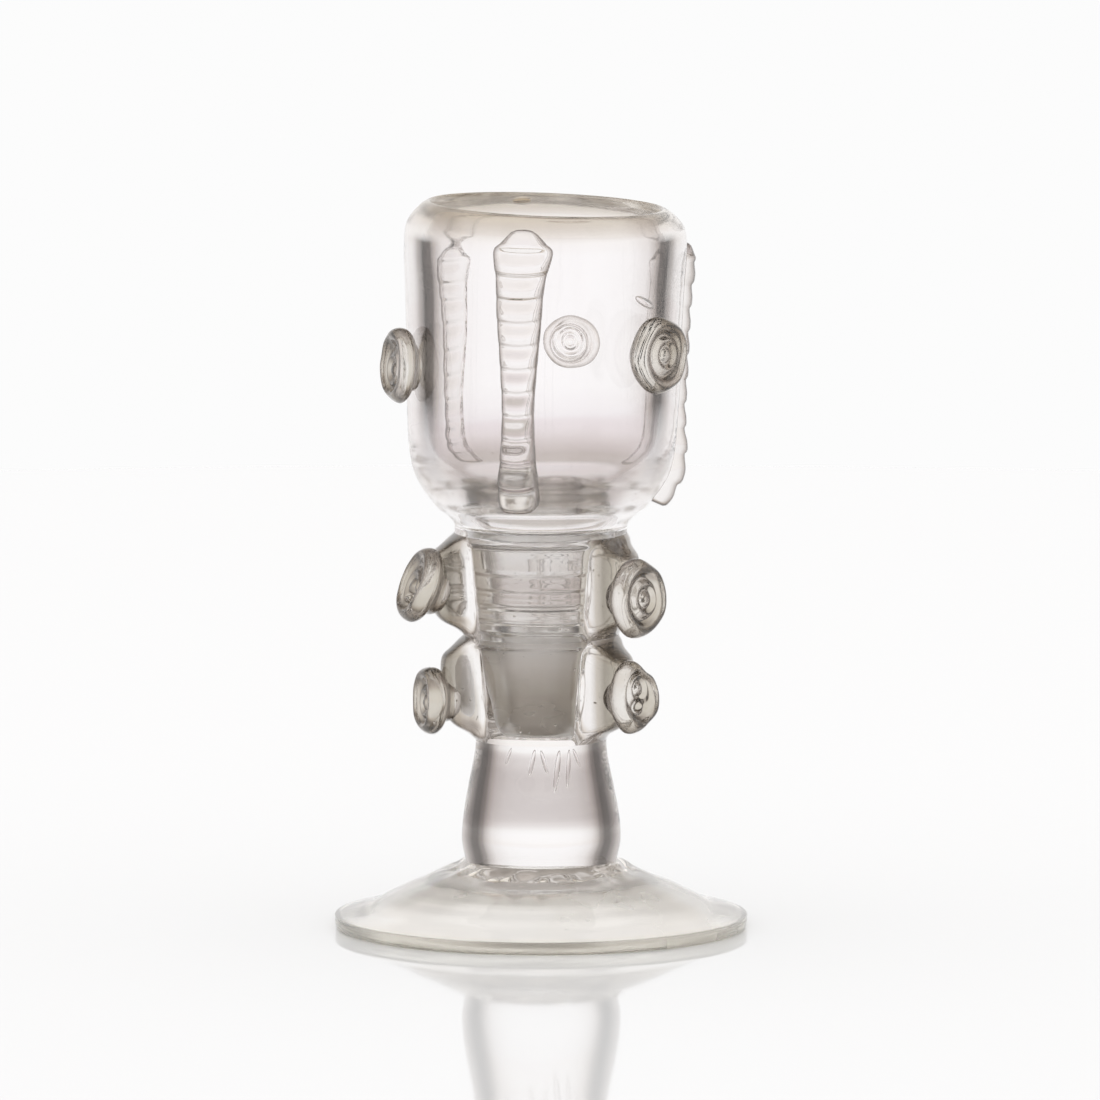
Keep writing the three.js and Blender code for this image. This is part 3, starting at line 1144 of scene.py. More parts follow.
@dataclass
class Prunt:
    """A gather pressed on and stamped: a rolled rim, a groove, an inner ring and a small boss."""

    node: str
    radius: float
    reach: float
    height: float
    bearing: float
    pitch: float
    lean: float = 0.0
    proud: float = 5.4
    root: float = 3.0
    squash: float = 1.0
    tall: float = 1.0
    wobble: float = 0.22
    bend: float = 0.0
    boss_shift: Point = (0.0, 0.0)
    second_boss: Point | None = None
    seed: float = 0.0
    sides: int = 64

    # Shares of the radius, with shares of how proud it stands, of the root's depth, and depths in the face.
    EDGE = ((0.66, -0.02), (0.72, 0.06), (0.88, 0.18), (0.98, 0.36), (1.0, 0.52), (0.97, 0.72), (0.88, 0.92),
            (0.78, 1.0))
    ROOT = ((0.0, 1.0), (0.3, 1.0), (0.55, 0.94), (0.8, 0.7), (0.94, 0.35))
    FACE = ((0.68, 0.35), (0.6, 1.05), (0.53, 1.3), (0.46, 0.95), (0.38, 0.6), (0.3, 0.95), (0.23, 1.3), (0.15, 0.9),
            (0.08, 0.62), (0.0, 0.55))
    # How far the noise that makes its edge uneven goes round, and the grain of its face.
    LOBES = 1.3
    RELIEF_GRAIN = 4.0
    # The second boss and the groove round it: how high, how far from its middle and how wide.
    SECOND = ((0.9, 0.0, 0.9), (-0.7, 1.9, 0.8))

    def outline(self) -> Outline:
        """The gather's outline from the middle of its root, round its edge, to the middle of its face.

        Returns:
            The outline, of (radius, height over the wall).
        """
        edge = [(self.radius * out, self.proud * rise) for out, rise in self.EDGE]
        face = [(self.radius * out, self.proud - down) for out, down in self.FACE]
        root = [(edge[0][0] * out, -self.root * deep) for out, deep in self.ROOT]
        return [*root, *flowing([*edge, *face], 4)]

    def place(self, radius: float, height: float, bearing: float) -> Vector:
        """Where a point of the outline goes on the glass.

        Args:
            radius: the outline's radius.
            height: its height over the wall.
            bearing: where round the gather, in degrees.

        Returns:
            The point in space.
        """
        angle = math.radians(bearing)
        out = max(0.0, height) / self.proud
        round_it = Vector((math.cos(angle) * self.LOBES, math.sin(angle) * self.LOBES, self.seed))
        lobed = rippled(round_it, 1.0, self.wobble * 2)
        wide = radius * (1 + lobed * min(1.0, radius / self.radius) / self.radius * 2 * eased(0.0, 0.4, out))
        inner = 1 - eased(0.25, 0.85, radius / self.radius)
        x = wide * math.cos(angle) * self.squash + self.boss_shift[0] * inner * out
        y = wide * math.sin(angle) * self.tall + self.boss_shift[1] * inner * out
        z = height + self.bend * (y / self.radius) ** 3 * out
        z += rippled(Vector((x, y, self.seed * 3)), self.RELIEF_GRAIN, self.wobble) * out
        if self.second_boss and height > 0:
            far = math.hypot(x - self.second_boss[0], y - self.second_boss[1])
            z += sum(rise * bump_at(far, at, wide) for rise, at, wide in self.SECOND) * eased(0.4, 0.8, out)
        return self.seat() @ Vector((x, y, z))

    def seat(self) -> Matrix:
        """Puts the gather's own +Z out along its bearing, tipped up by its pitch, and its own +Y upwards.

        Returns:
            The matrix from the gather to the glass.
        """
        across = upright(1, 0, self.bearing + 90)
        out = upright(math.cos(math.radians(self.pitch)), math.sin(math.radians(self.pitch)), self.bearing)
        turn = Matrix((across, out.cross(across), out)).transposed().to_4x4()
        return Matrix.Translation(upright(self.reach, self.height, self.bearing) + Vector((self.lean, 0, 0))) @ turn

    def build(self) -> Object:
        """The gather's closed skin, with its root inside the wall.

        Returns:
            The gather.
        """
        skin = Skin()
        skin.turn([(self.outline(), Face.GLASS, self.place)], self.sides)
        return skin.object(self.node)

    def dress(self, body: Object, dresser: Dresser) -> None:
        """Gives the gather its glass: the ones at the front get painted shade in a darker tint, the ones at the back
        a clear tint.
        """
        dresser.dress(body, "back_prunt_glass" if self.node.endswith("back") else "prunt_glass", self.node)


@dataclass
class Knop:
    """A hollow knop drawn out into three lobes, one under each prunt."""

    node: str
    top: float
    bottom: float
    top_radius: float
    bottom_radius: float
    reaches: tuple[float, float, float]
    bore: Outline
    bore_rings: tuple[tuple[float, float, float], ...] = ()
    bearing: float = LOBE_BEARING
    spread: float = 32.0
    front_spread: float = 12.5
    ledge: tuple[float, float, float] = (0.45, 1.1, 0.7)
    fold_height: float = 1.5
    floor: bool = False
    sides: int = 168
    steps: int = 6
    rows: int = 48
    lobes: Outline = field(init=False)

    # How much of a lobe's reach it has, against the share of the way up.
    LOBES = ((0, 0), (0.3, 0.08), (0.86, 0.2), (1, 0.32), (1, 0.55), (0.92, 0.78), (0.56, 0.89), (0.16, 0.96), (0, 1))
    # How far seeds stay from the seams and from the wall's two sides.
    SEED_FREE, SEED_DEPTH = 2.5, 0.8

    def __post_init__(self) -> None:
        """Smooths the lobes' outline."""
        self.lobes = flowing(self.LOBES, self.steps)

    def lobe_at(self, bearing: float) -> float:
        """How far the lobes stand out at a bearing: softly spread, but steep and narrow towards the front.

        Args:
            bearing: where round the axis.

        Returns:
            How far, in millimetres.
        """
        frontward = abs(turn_between(self.bearing - THIRD / 2, bearing)) < THIRD / 2
        total = 0.0
        for i, reach in enumerate(self.reaches):
            away = turn_between(self.bearing + i * THIRD, bearing)
            fade = (away / self.front_spread) ** 4 if frontward else (away / self.spread) ** 2
            total += reach * math.exp(-fade)
        return total

    def place_outside(self, radius: float, height: float, bearing: float) -> Vector:
        """Where a point of the outside goes, drawn out by the lobes.

        Args:
            radius: the outline's radius.
            height: its height.
            bearing: where round the axis.

        Returns:
            The point in space.
        """
        rise = (height - self.bottom) / (self.top - self.bottom)
        lobe = value_at(self.lobes, rise) * self.lobe_at(bearing)
        proud, below, wide = self.ledge
        lobe += proud * bump_at(height, self.top - below, wide)
        return handmade(upright(radius + lobe, height, bearing))

    def place_inside(self, radius: float, height: float, bearing: float) -> Vector:
        """Where a point of the bore goes, with the rings that the tool left.

        Args:
            radius: the outline's radius.
            height: its height.
            bearing: where round the axis.

        Returns:
            The point in space.
        """
        for level, width, depth in self.bore_rings:
            radius += depth * math.exp(-(((height - level) / width) ** 4))
        return handmade(upright(radius, height, bearing))

    def build(self) -> Object:
        """The knop's closed skin; its ends are fused seams.

        Returns:
            The knop.
        """
        outside = [
            (mix(self.bottom_radius, self.top_radius, i / self.rows), mix(self.bottom, self.top, i / self.rows))
            for i in range(self.rows + 1)
        ]
        bore = flowing(self.bore, self.steps * 4)
        fold, cavity = parted(bore, self.top - self.fold_height)
        stretches = [
            (outside, Face.GLASS, self.place_outside),
            ([outside[-1], bore[0]], Face.SEAM, self.place_inside),
            (fold, Face.FOLD, self.place_inside),
        ]
        if self.floor:
            stretches.insert(0, ([(0.0, self.bottom), outside[0]], Face.SEAM, self.place_inside))
            stretches.append((cavity, Face.INSIDE, self.place_inside))
        else:
            cavity, fold = parted(cavity, self.bottom + self.fold_height)
            stretches += [(cavity, Face.INSIDE, self.place_inside), (fold, Face.FOLD, self.place_inside)]
        skin = Skin()
        skin.turn(stretches, self.sides)
        return skin.object(self.node)

    def seed_spot(self, draw: random.Random) -> Vector:
        """A place in the knop's wall.

        Args:
            draw: the random numbers.

        Returns:
            The place.
        """
        height = mix(self.bottom + self.SEED_FREE, self.top - self.SEED_FREE, draw.random())
        rise = (height - self.bottom) / (self.top - self.bottom)
        inner = mix(self.bore[-3 if self.floor else -1][0], self.bore[0][0], rise) + self.SEED_DEPTH
        outer = mix(self.bottom_radius, self.top_radius, rise) - self.SEED_DEPTH
        return upright(mix(inner, outer, draw.random()), height, draw.uniform(0, 360))

    def dress(self, body: Object, dresser: Dresser) -> None:
        """Leaves its seeds in the fused knop and gives it its glass."""
        Seeds(60, seed=12 if self.floor else 11).add(body, self.seed_spot)
        dresser.dress(body, "knop_glass", self.node, "cup_glass" if self.floor else "cavity_glass")


@dataclass
class Stem:
    """The solid baluster between the knops and the foot."""

    levels: Levels
    top_radius: float = 14.6
    radius: float = 17.8
    foot_radius: float = 17.0
    gap: float = 0.02
    sides: int = 144

    # Shares of the way up, and of the way from the top's radius to the widest.
    SIDE = ((0.16, 1), (0.28, 0.98), (0.42, 0.84), (0.56, 0.62), (0.7, 0.38), (0.82, 0.16), (0.94, 0.02), (1, 0))
    CREASE_TOP = 1.4
    # Each crease's place across and forwards, its slant in degrees, its half length and half width.
    CREASES = (
        (-1.6, 6.0, 9.0, 3.4, 0.45), (0.6, 7.5, -12.0, 3.0, 0.42), (3.0, 8.0, 6.0, 5.0, 0.6),
        (5.0, 6.5, 3.0, 4.6, 0.48), (6.2, 4.0, -16.0, 2.4, 0.34), (-5.5, 3.0, 14.0, 2.2, 0.3),
    )

    def place(self, radius: float, height: float, bearing: float) -> Vector:
        """Where a point of the stem goes."""
        return handmade(upright(radius, height, bearing))

    def build(self) -> Object:
        """The stem's closed skin; both ends are fused seams.

        Returns:
            The stem.
        """
        bottom, top = self.levels.foot + self.gap, self.levels.stem - self.gap
        side = [(mix(self.top_radius, self.radius, swell), mix(bottom, top, rise)) for rise, swell in self.SIDE]
        side = flowing([(self.foot_radius, bottom), *side], 6)
        skin = Skin()
        skin.turn(
            [
                ([(0.0, bottom), side[0]], Face.SEAM, self.place),
                (side, Face.GLASS, self.place),
                ([side[-1], (0.0, top)], Face.SEAM, self.place),
            ],
            self.sides,
        )
        return skin.object("stem")

    def creases(self) -> Skin:
        """Long thin bubbles drawn down from the stem's top, in pairs that meet like a V.

        Returns:
            Their skin.
        """
        skin = Skin()
        top = self.levels.stem - self.CREASE_TOP
        for across, depth, slant, long, wide in self.CREASES:
            middle = Vector((across, -depth, top - long))
            turn = Matrix.Rotation(math.radians(slant), 3, "Y")
            skin.bubble(middle, Vector((wide, wide * 0.7, long)), turn, 8)
        return skin

    def dress(self, body: Object, dresser: Dresser) -> None:
        """Leaves the creases in the stem and gives it its glass."""
        add_voids(body, self.creases())
        dresser.dress(body, "stem_glass", "stem")


@dataclass
class Foot:
    """The trumpet foot, a shell that stands on its rim."""

    levels: Levels
    neck_radius: float = 17.0
    edge_height: float = 2.9
    edge_tuck: float = 0.9
    ring_width: float = 1.1
    shell: float = 4.6
    pad_radius: float = 19.7
    relief: float = 0.22
    relief_grain: float = 9.0
    tool_rings: float = 0.07
    fold: float = 1.1
    fold_grain: float = 4.2
    sides: int = 216
    inset: float = 0.06

    # Shares of the way in from the rim and of the way up; the underside's go out from the pad.
    TOP = ((0.0, 0.0), (0.04, 0.03), (0.235, 0.155), (0.495, 0.45), (0.747, 0.71), (0.925, 0.9), (1, 1))
    UNDER = ((0.0, 1.0), (0.18, 0.99), (0.45, 0.76), (0.7, 0.46), (0.88, 0.14), (1.0, 0.0))
    # The share of the pad's radius that is fused on, and the radii that hold seeds.
    PAD_SEAM = 0.92
    SEEDED = (23.0, 38.0)
    # How far from the rim the relief sets in, and where towards the rim the unevenness all round fades out.
    RIM_CLEAR = (1.0, 5.0)
    EVEN = (17.5, 30.0)
    # The heights between which there is relief.
    FREE = ((1.0, 3.0), (14.0, 15.2))
    # The tool's rings: their wave, in radians to the millimetre, and the radii between which they lie.
    RING_WAVE = 1.1
    RINGED = ((17, 22), (42, 45))
    # The folds round the neck: the radii between which they lie, and the height over which they set in.
    FOLDED = ((17.1, 18.6), (20.5, 24.0))
    FOLDED_OVER = (10.8, 11.6)

    def place(self, radius: float, height: float, bearing: float) -> Vector:
        """Where a point of the foot goes: round and even at its rim, uneven towards the middle.

        Args:
            radius: the outline's radius.
            height: its height.
            bearing: where round the axis.

        Returns:
            The point in space.
        """
        point = upright(radius, height, bearing)
        amount = self.relief * eased(*self.RIM_CLEAR, self.levels.foot_radius - radius)
        rings = self.tool_rings * math.sin(radius * self.RING_WAVE) * within(*self.RINGED, radius)
        point.z += (rippled(point, self.relief_grain, amount) + rings) * within(*self.FREE, height)
        folded = within(*self.FOLDED, radius) * eased(*self.FOLDED_OVER, height)
        point.z += rippled(point, self.fold_grain, self.fold) * folded
        return handmade(point, UNEVENNESS * (1 - eased(*self.EVEN, radius)))

    def build(self) -> Object:
        """The foot's closed skin; its top and the place of the pad are fused seams.

        Returns:
            The foot.
        """
        edge, top = self.levels.foot_radius - self.inset, self.levels.foot
        rest, crown = edge - self.edge_tuck, top - self.shell
        above = [(mix(edge, self.neck_radius, inward), mix(self.edge_height, top, rise)) for inward, rise in self.TOP]
        inner = rest - self.ring_width
        below = [(mix(self.pad_radius, inner, out), crown * rise) for out, rise in self.UNDER]
        rim = [(rest + 0.5, 0.25), (edge - 0.12, 0.9), (edge, 1.7), (edge - 0.1, 2.4)]
        pad = self.PAD_SEAM * self.pad_radius
        under = flowing(below, 5)
        side = flowing([(rest, 0.0), *rim, *above], 5)
        skin = Skin()
        skin.turn(
            [
                ([(0.0, crown), (pad, crown)], Face.SEAM, self.place),
                ([(pad, crown), *under], Face.INSIDE, self.place),
                ([under[-1], *side], Face.GLASS, self.place),
                ([side[-1], (0.0, top)], Face.SEAM, self.place),
            ],
            self.sides,
        )
        return skin.object("foot")

    def seed_spot(self, draw: random.Random) -> Vector:
        """A place in the shell, halfway between its two sides.

        Args:
            draw: the random numbers.

        Returns:
            The place.
        """
        radius = mix(*self.SEEDED, draw.random())
        inward = (self.levels.foot_radius - radius) / (self.levels.foot_radius - self.neck_radius)
        top = mix(self.edge_height, self.levels.foot, value_at([(rise, i) for i, rise in self.TOP], inward))
        return upright(radius, top - self.shell / 2, draw.uniform(0, 360))

    def dress(self, body: Object, dresser: Dresser) -> None:
        """Leaves its seeds in the foot and gives it its glass."""
        Seeds(30, largest=0.35, seed=21).add(body, self.seed_spot)
        dresser.dress(body, "foot_glass", "foot", "foot_under")


@dataclass
class PontilPad:
    """The rough pad of glass under the stem, with folds rolled into its edge."""

    levels: Levels
    shell: float = 4.6
    radius: float = 19.7
    depth: float = 1.8
    fold: float = 3.2
    fold_grain: float = 4.4
    fold_top: float = 0.5
    tear: float = 2.2
    tear_grain: float = 5.5
    gap: float = 0.02
    sides: int = 168

    # Shares of the radius and of the depth.
    SIDE = ((0.0, 0.6), (0.4, 0.62), (0.72, 0.6), (0.86, 1), (0.95, 0.8), (0.97, 0.3), (0.92, 0))

    def place(self, radius: float, height: float, bearing: float) -> Vector:
        """Where a point of the pad goes: its edge is folded and torn unevenly.

        Args:
            radius: the outline's radius.
            height: its height.
            bearing: where round the axis.

        Returns:
            The point in space.
        """
        point = upright(radius, height, bearing)
        share = eased(0.55 * self.radius, 0.95 * self.radius, radius)
        under = eased(0.0, 0.5, self.levels.foot - self.shell - height)
        point.z += min(rippled(point, self.fold_grain, self.fold), self.fold_top) * share * under
        return handmade(point, self.tear * share * under, self.tear_grain)

    def build(self) -> Object:
        """The pad's closed skin; its top is a fused seam.

        Returns:
            The pad.
        """
        top = self.levels.foot - self.shell - self.gap
        side = flowing([(self.radius * out, top - self.depth * down) for out, down in self.SIDE], 5)
        skin = Skin()
        skin.turn(
            [(side, Face.GLASS, self.place), ([side[-1], (0.0, top)], Face.SEAM, self.place)],
            self.sides,
        )
        return skin.object("pontil_pad")

    def dress(self, body: Object, dresser: Dresser) -> None:
        """Gives the pad its glass."""
        dresser.dress(body, "pad_glass", "pontil_pad")


@dataclass
class Studio:
    """A pale glossy table in an even white room, and the camera.

    Seen through the glass, the table glows with painted tones, painted shade in grey rings round the glass, and the
    room shows its beige and dark parts overhead.
    Sizes are in metres here, apart from the sensor's, which is in millimetres.
    """

    table_radius: float = 0.9
    table_tone: float = 0.997
    table_gloss: float = 0.05
    white: float = 0.973
    eye: tuple[float, float, float] = (0.002, -3.6, 0.5205)
    aim_height: float = 0.085
    view_width: float = 0.24607
    sensor: float = 36.0

    # The table's glow through glass, painted tones with painted shade in grey rings round the glass, by the distance
    # from its middle, in metres; and the room's tones by how far up it is seen.
    TABLE_SEEN = (
        (0.0, (0.99, 0.98, 0.97)), (0.05, (0.98, 0.97, 0.96)), (0.075, (0.6, 0.555, 0.545)),
        (0.09, (0.6, 0.555, 0.545)), (0.105, (0.68, 0.635, 0.625)), (0.12, (0.77, 0.73, 0.72)),
        (0.135, (0.87, 0.84, 0.83)), (0.155, (0.96, 0.95, 0.94)), (0.19, (1, 0.99, 0.99)), (0.3, (1, 0.985, 0.975)),
        (0.4, (0.97, 0.945, 0.93)), (0.6, (0.99, 0.97, 0.96)), (0.74, (0.96, 0.93, 0.93)),
        (0.8, (0.96, 0.93, 0.935)), (0.88, (1, 0.995, 1)),
    )
    ROOM_SEEN = (
        (-1.0, (1, 0.995, 1)), (0.32, (0.99, 0.98, 0.98)), (0.44, (0.8, 0.75, 0.7)), (0.56, (0.46, 0.41, 0.37)),
        (0.68, (0.28, 0.25, 0.22)), (0.8, (0.8, 0.77, 0.75)), (1.0, (0.98, 0.97, 0.96)),
    )

    def table(self) -> None:
        """The table top: a round pale sheet with a soft gloss."""
        mesh = bpy.data.meshes.new("table")
        shell = bmesh.new()
        bmesh.ops.create_circle(shell, cap_ends=True, segments=256, radius=self.table_radius)
        shell.to_mesh(mesh)
        shell.free()
        top = bpy.data.objects.new("table", mesh)
        bpy.context.scene.collection.objects.link(top)
        mesh.materials.append(self.sheet())

    def sheet(self) -> Material:
        """The table top's finish; through glass it glows with painted tones, painted shade in grey rings round the
        glass, and lights nothing.

        Returns:
            The material.
        """
        made = bpy.data.materials.new("table_sheet")
        made.use_nodes = True
        web = Web(made.node_tree)
        shader = web.tree.nodes["Principled BSDF"]
        shader.inputs["Base Color"].default_value = (*(self.table_tone,) * 3, 1)
        shader.inputs["Roughness"].default_value = self.table_gloss
        painted_glow = web.node("Emission")
        away = web.away(web.node("TexCoord").outputs["Object"])
        web.wire(web.graded(away, self.TABLE_SEEN), painted_glow.inputs["Color"])
        either = web.node("MixShader")
        web.wire(web.through_glass(mirrors=False), either.inputs[0])
        web.wire(shader.outputs["BSDF"], either.inputs[1])
        web.wire(painted_glow.outputs["Emission"], either.inputs[2])
        web.wire(either.outputs["Shader"], web.tree.nodes["Material Output"].inputs["Surface"])
        return made

    def room(self) -> None:
        """The light: even and white, with a real room's tones where it is seen through glass or mirrored."""
        world = bpy.data.worlds.new("room")
        bpy.context.scene.world = world
        world.use_nodes = True
        web = Web(world.node_tree)
        parts = web.node("SeparateXYZ")
        web.wire(web.node("TexCoord").outputs["Generated"], parts.inputs[0])
        chosen = web.blend((self.white,) * 3, (self.white,) * 3)
        web.wire(web.through_glass(mirrors=True), chosen.inputs[web.FACTOR])
        web.wire(web.graded(parts.outputs["Z"], self.ROOM_SEEN), chosen.inputs[web.SECOND])
        web.wire(chosen.outputs[web.BLENDED], web.tree.nodes["Background"].inputs["Color"])

    def camera(self) -> None:
        """The long lens of the photograph, a little above the lip and looking slightly down."""
        lens = bpy.data.cameras.new("camera")
        eye = bpy.data.objects.new("camera", lens)
        bpy.context.scene.collection.objects.link(eye)
        eye.location = self.eye
        fall, away = self.eye[2] - self.aim_height, -self.eye[1]
        eye.rotation_euler = (math.pi / 2 - math.atan2(fall, away), 0, 0)
        lens.sensor_width = self.sensor
        lens.lens = self.sensor * math.hypot(fall, away) / self.view_width
        lens.clip_end = 50
        bpy.context.scene.camera = eye

    def depth(self) -> None:
        """Lets light cross as many walls as the glass has."""
        cycles = bpy.context.scene.cycles
        cycles.max_bounces = 32
        cycles.transmission_bounces = 32
        cycles.glossy_bounces = 16
        cycles.transparent_max_bounces = 64
        bpy.context.scene.view_settings.view_transform = "Standard"


def edge_shade(*stops: tuple[float, float]) -> Stops:
    """Stops of painted shade in brown-grey, from how far the glass turns away and how light it is there."""
    return tuple((at, (tone, tone * mix(0.84, 1.0, tone), tone * mix(0.74, 1.0, tone))) for at, tone in stops)


# Each finish's edge stops are painted shade, the dark rims of the glass.
FINISHES = (
    GlassFinish("bowl_glass", Slot.CLEAR, (0.995, 0.988, 0.99), (0.975, 0.962, 0.964),
                edge_shade((0, 1), (0.31, 0.97), (0.38, 0.42), (0.42, 0.05), (0.5, 0.015), (0.57, 0.2), (0.65, 0.65),
                           (0.8, 0.82), (1, 0.55)),
                (70, 70, 9), 0.012,
                # painted shade at the base, and a darker warm tone at the lip
                shade_and_tint=((89, WHITE), (96, WHITE), (99.5, (0.84, 0.81, 0.78)), (103, (0.82, 0.79, 0.77)),
                      (109, (0.96, 0.94, 0.95)), (113, WHITE), (154, WHITE), (157, (0.95, 0.93, 0.9)),
                      (159.5, (0.74, 0.7, 0.64)), (161.5, (0.72, 0.66, 0.56)), (164, (0.7, 0.6, 0.44))),
                haze=((88, 0.01), (93, 0.03), (104, 0.04), (110, 0.005), (152, 0.005), (156, 0.04), (160, 0.12),
                      (164, 0.12)),
                edge_shade_held=((90, 0), (100, 0.1), (120, 1), (156, 1), (158, 0))),
    GlassFinish("bowl_inside", Slot.CLEAR, (0.995, 0.988, 0.99), (0.975, 0.962, 0.964),
                edge_shade((0, 1), (0.28, 0.95), (0.42, 0.76), (0.6, 0.58), (0.8, 0.55), (1, 0.55)),
                (70, 70, 9), 0.012,
                # painted shade low in the cavity, and a darker warm tone at the lip
                shade_and_tint=((89, WHITE), (98, WHITE), (99.6, (0.5, 0.465, 0.42)), (102.5, (0.5, 0.465, 0.43)),
                      (106, (0.67, 0.62, 0.62)), (110, (0.8, 0.76, 0.77)), (115, (0.92, 0.9, 0.91)), (120, WHITE),
                      (156, WHITE), (160, (0.84, 0.78, 0.68)), (164, (0.72, 0.62, 0.47))),
                haze=((88, 0.01), (94, 0.03), (97, 0.13), (103, 0.13), (112, 0.01), (153, 0.005), (159, 0.08),
                      (164, 0.12)),
                edge_shade_held=((92, 0), (104, 0), (116, 1), (154, 1), (158, 0))),
    GlassFinish("fold_glass", Slot.CLEAR, (0.98, 0.965, 0.95), (0.9, 0.87, 0.84),
                edge_shade((0, 1), (0.25, 0.95), (0.36, 0.3), (0.46, 0.02), (1, 0.01)),
                (160, 160, 160), 0.04, 0.02, clearness=0.5),
    GlassFinish("stem_glass", Slot.CLEAR, (0.975, 0.965, 0.965), (0.95, 0.93, 0.93),
                edge_shade((0, 1), (0.07, 0.98), (0.13, 0.93), (0.22, 0.72), (0.27, 0.45), (0.33, 0.12), (0.4, 0.03),
                           (0.5, 0.03), (0.6, 0.12), (0.8, 0.45), (1, 0.3)),
                (40, 40, 60), 0.012),
    GlassFinish("knop_glass", Slot.KNOP, (0.99, 0.98, 0.973), (0.92, 0.9, 0.875),
                edge_shade((0, 1), (0.15, 0.97), (0.34, 0.55), (0.5, 0.15), (0.75, 0.22), (1, 0.1)),
                (45, 45, 90), 0.02,
                # painted shade on the lobes drawn out towards the front
                reach=((0, WHITE), (14.2, WHITE), (16, (0.4, 0.355, 0.29)), (18, (0.13, 0.11, 0.08)),
                       (20, (0.2, 0.175, 0.13)), (22, (0.42, 0.38, 0.31)), (28, (0.5, 0.46, 0.38)))),
    GlassFinish("cavity_glass", Slot.KNOP, (1.0, 0.99, 0.985), (0.97, 0.955, 0.95),
                edge_shade((0, 1), (0.3, 0.94), (0.5, 0.5), (0.65, 0.18), (1, 0.05)),
                (16, 16, 260), 0.03, 0.05,
                # painted shade in a band down the bore
                shade_and_tint=((66, WHITE), (70, WHITE), (72.5, (1, 0.99, 0.98)), (75, (0.85, 0.81, 0.8)),
                      (79.5, (0.83, 0.79, 0.78)), (81.3, WHITE), (89.5, WHITE)),
                clearness=0.75),
    GlassFinish("cup_glass", Slot.KNOP, (0.94, 0.92, 0.91), (0.84, 0.815, 0.8),
                edge_shade((0, 1), (0.3, 0.92), (0.7, 0.55), (1, 0.35)),
                (60, 60, 120), 0.03, 0.22,
                # painted shade that darkens the cup towards its floor
                shade_and_tint=((44, (0.62, 0.57, 0.5)), (53, (0.7, 0.65, 0.58)), (60, (0.97, 0.94, 0.9)),
                      (66, (1, 0.99, 0.98))),
                clearness=0.38),
    GlassFinish("trail_glass", Slot.TRAIL, (0.96, 0.945, 0.935), (0.9, 0.875, 0.855),
                edge_shade((0, 1), (0.2, 0.9), (0.4, 0.45), (0.6, 0.12), (0.85, 0.05), (1, 0.1)),
                (120, 120, 60), 0.015),
    # The front prunts' darker tint and streaks are painted shade; the back ones keep a clear tint.
    GlassFinish("prunt_glass", Slot.PRUNT, (0.73, 0.7, 0.64), (0.5, 0.46, 0.38),
                edge_shade((0, 1), (0.15, 0.9), (0.32, 0.4), (0.55, 0.08), (1, 0.2)),
                (90, 90, 90), 0.02),
    GlassFinish("back_prunt_glass", Slot.PRUNT, (0.97, 0.955, 0.94), (0.92, 0.9, 0.87),
                edge_shade((0, 1), (0.15, 0.95), (0.32, 0.6), (0.55, 0.2), (1, 0.3)),
                (90, 90, 90), 0.02),
    GlassFinish("foot_glass", Slot.FOOT, (0.985, 0.965, 0.935), (0.965, 0.94, 0.9),
                edge_shade((0, 1), (0.8, 0.97), (0.93, 0.8), (1, 0.65)),
                (40, 40, 40), 0.02, 0.03,
                shade_and_tint=((0, (0.93, 0.91, 0.81)), (2.4, (0.94, 0.93, 0.84)), (3.6, WHITE), (16, WHITE)),
                clearness=0.88),
    GlassFinish("foot_under", Slot.FOOT, (0.99, 0.972, 0.945), (0.975, 0.953, 0.915),
                edge_shade((0, 1), (0.8, 0.97), (1, 0.8)),
                (40, 40, 40), 0.02, 0.2, clearness=0.94),
    GlassFinish("pad_glass", Slot.FOOT, (0.98, 0.955, 0.92), (0.9, 0.8, 0.66),
                edge_shade((0, 1), (0.5, 0.85), (0.8, 0.4), (1, 0.25)),
                (120, 120, 120), 0.05),
)


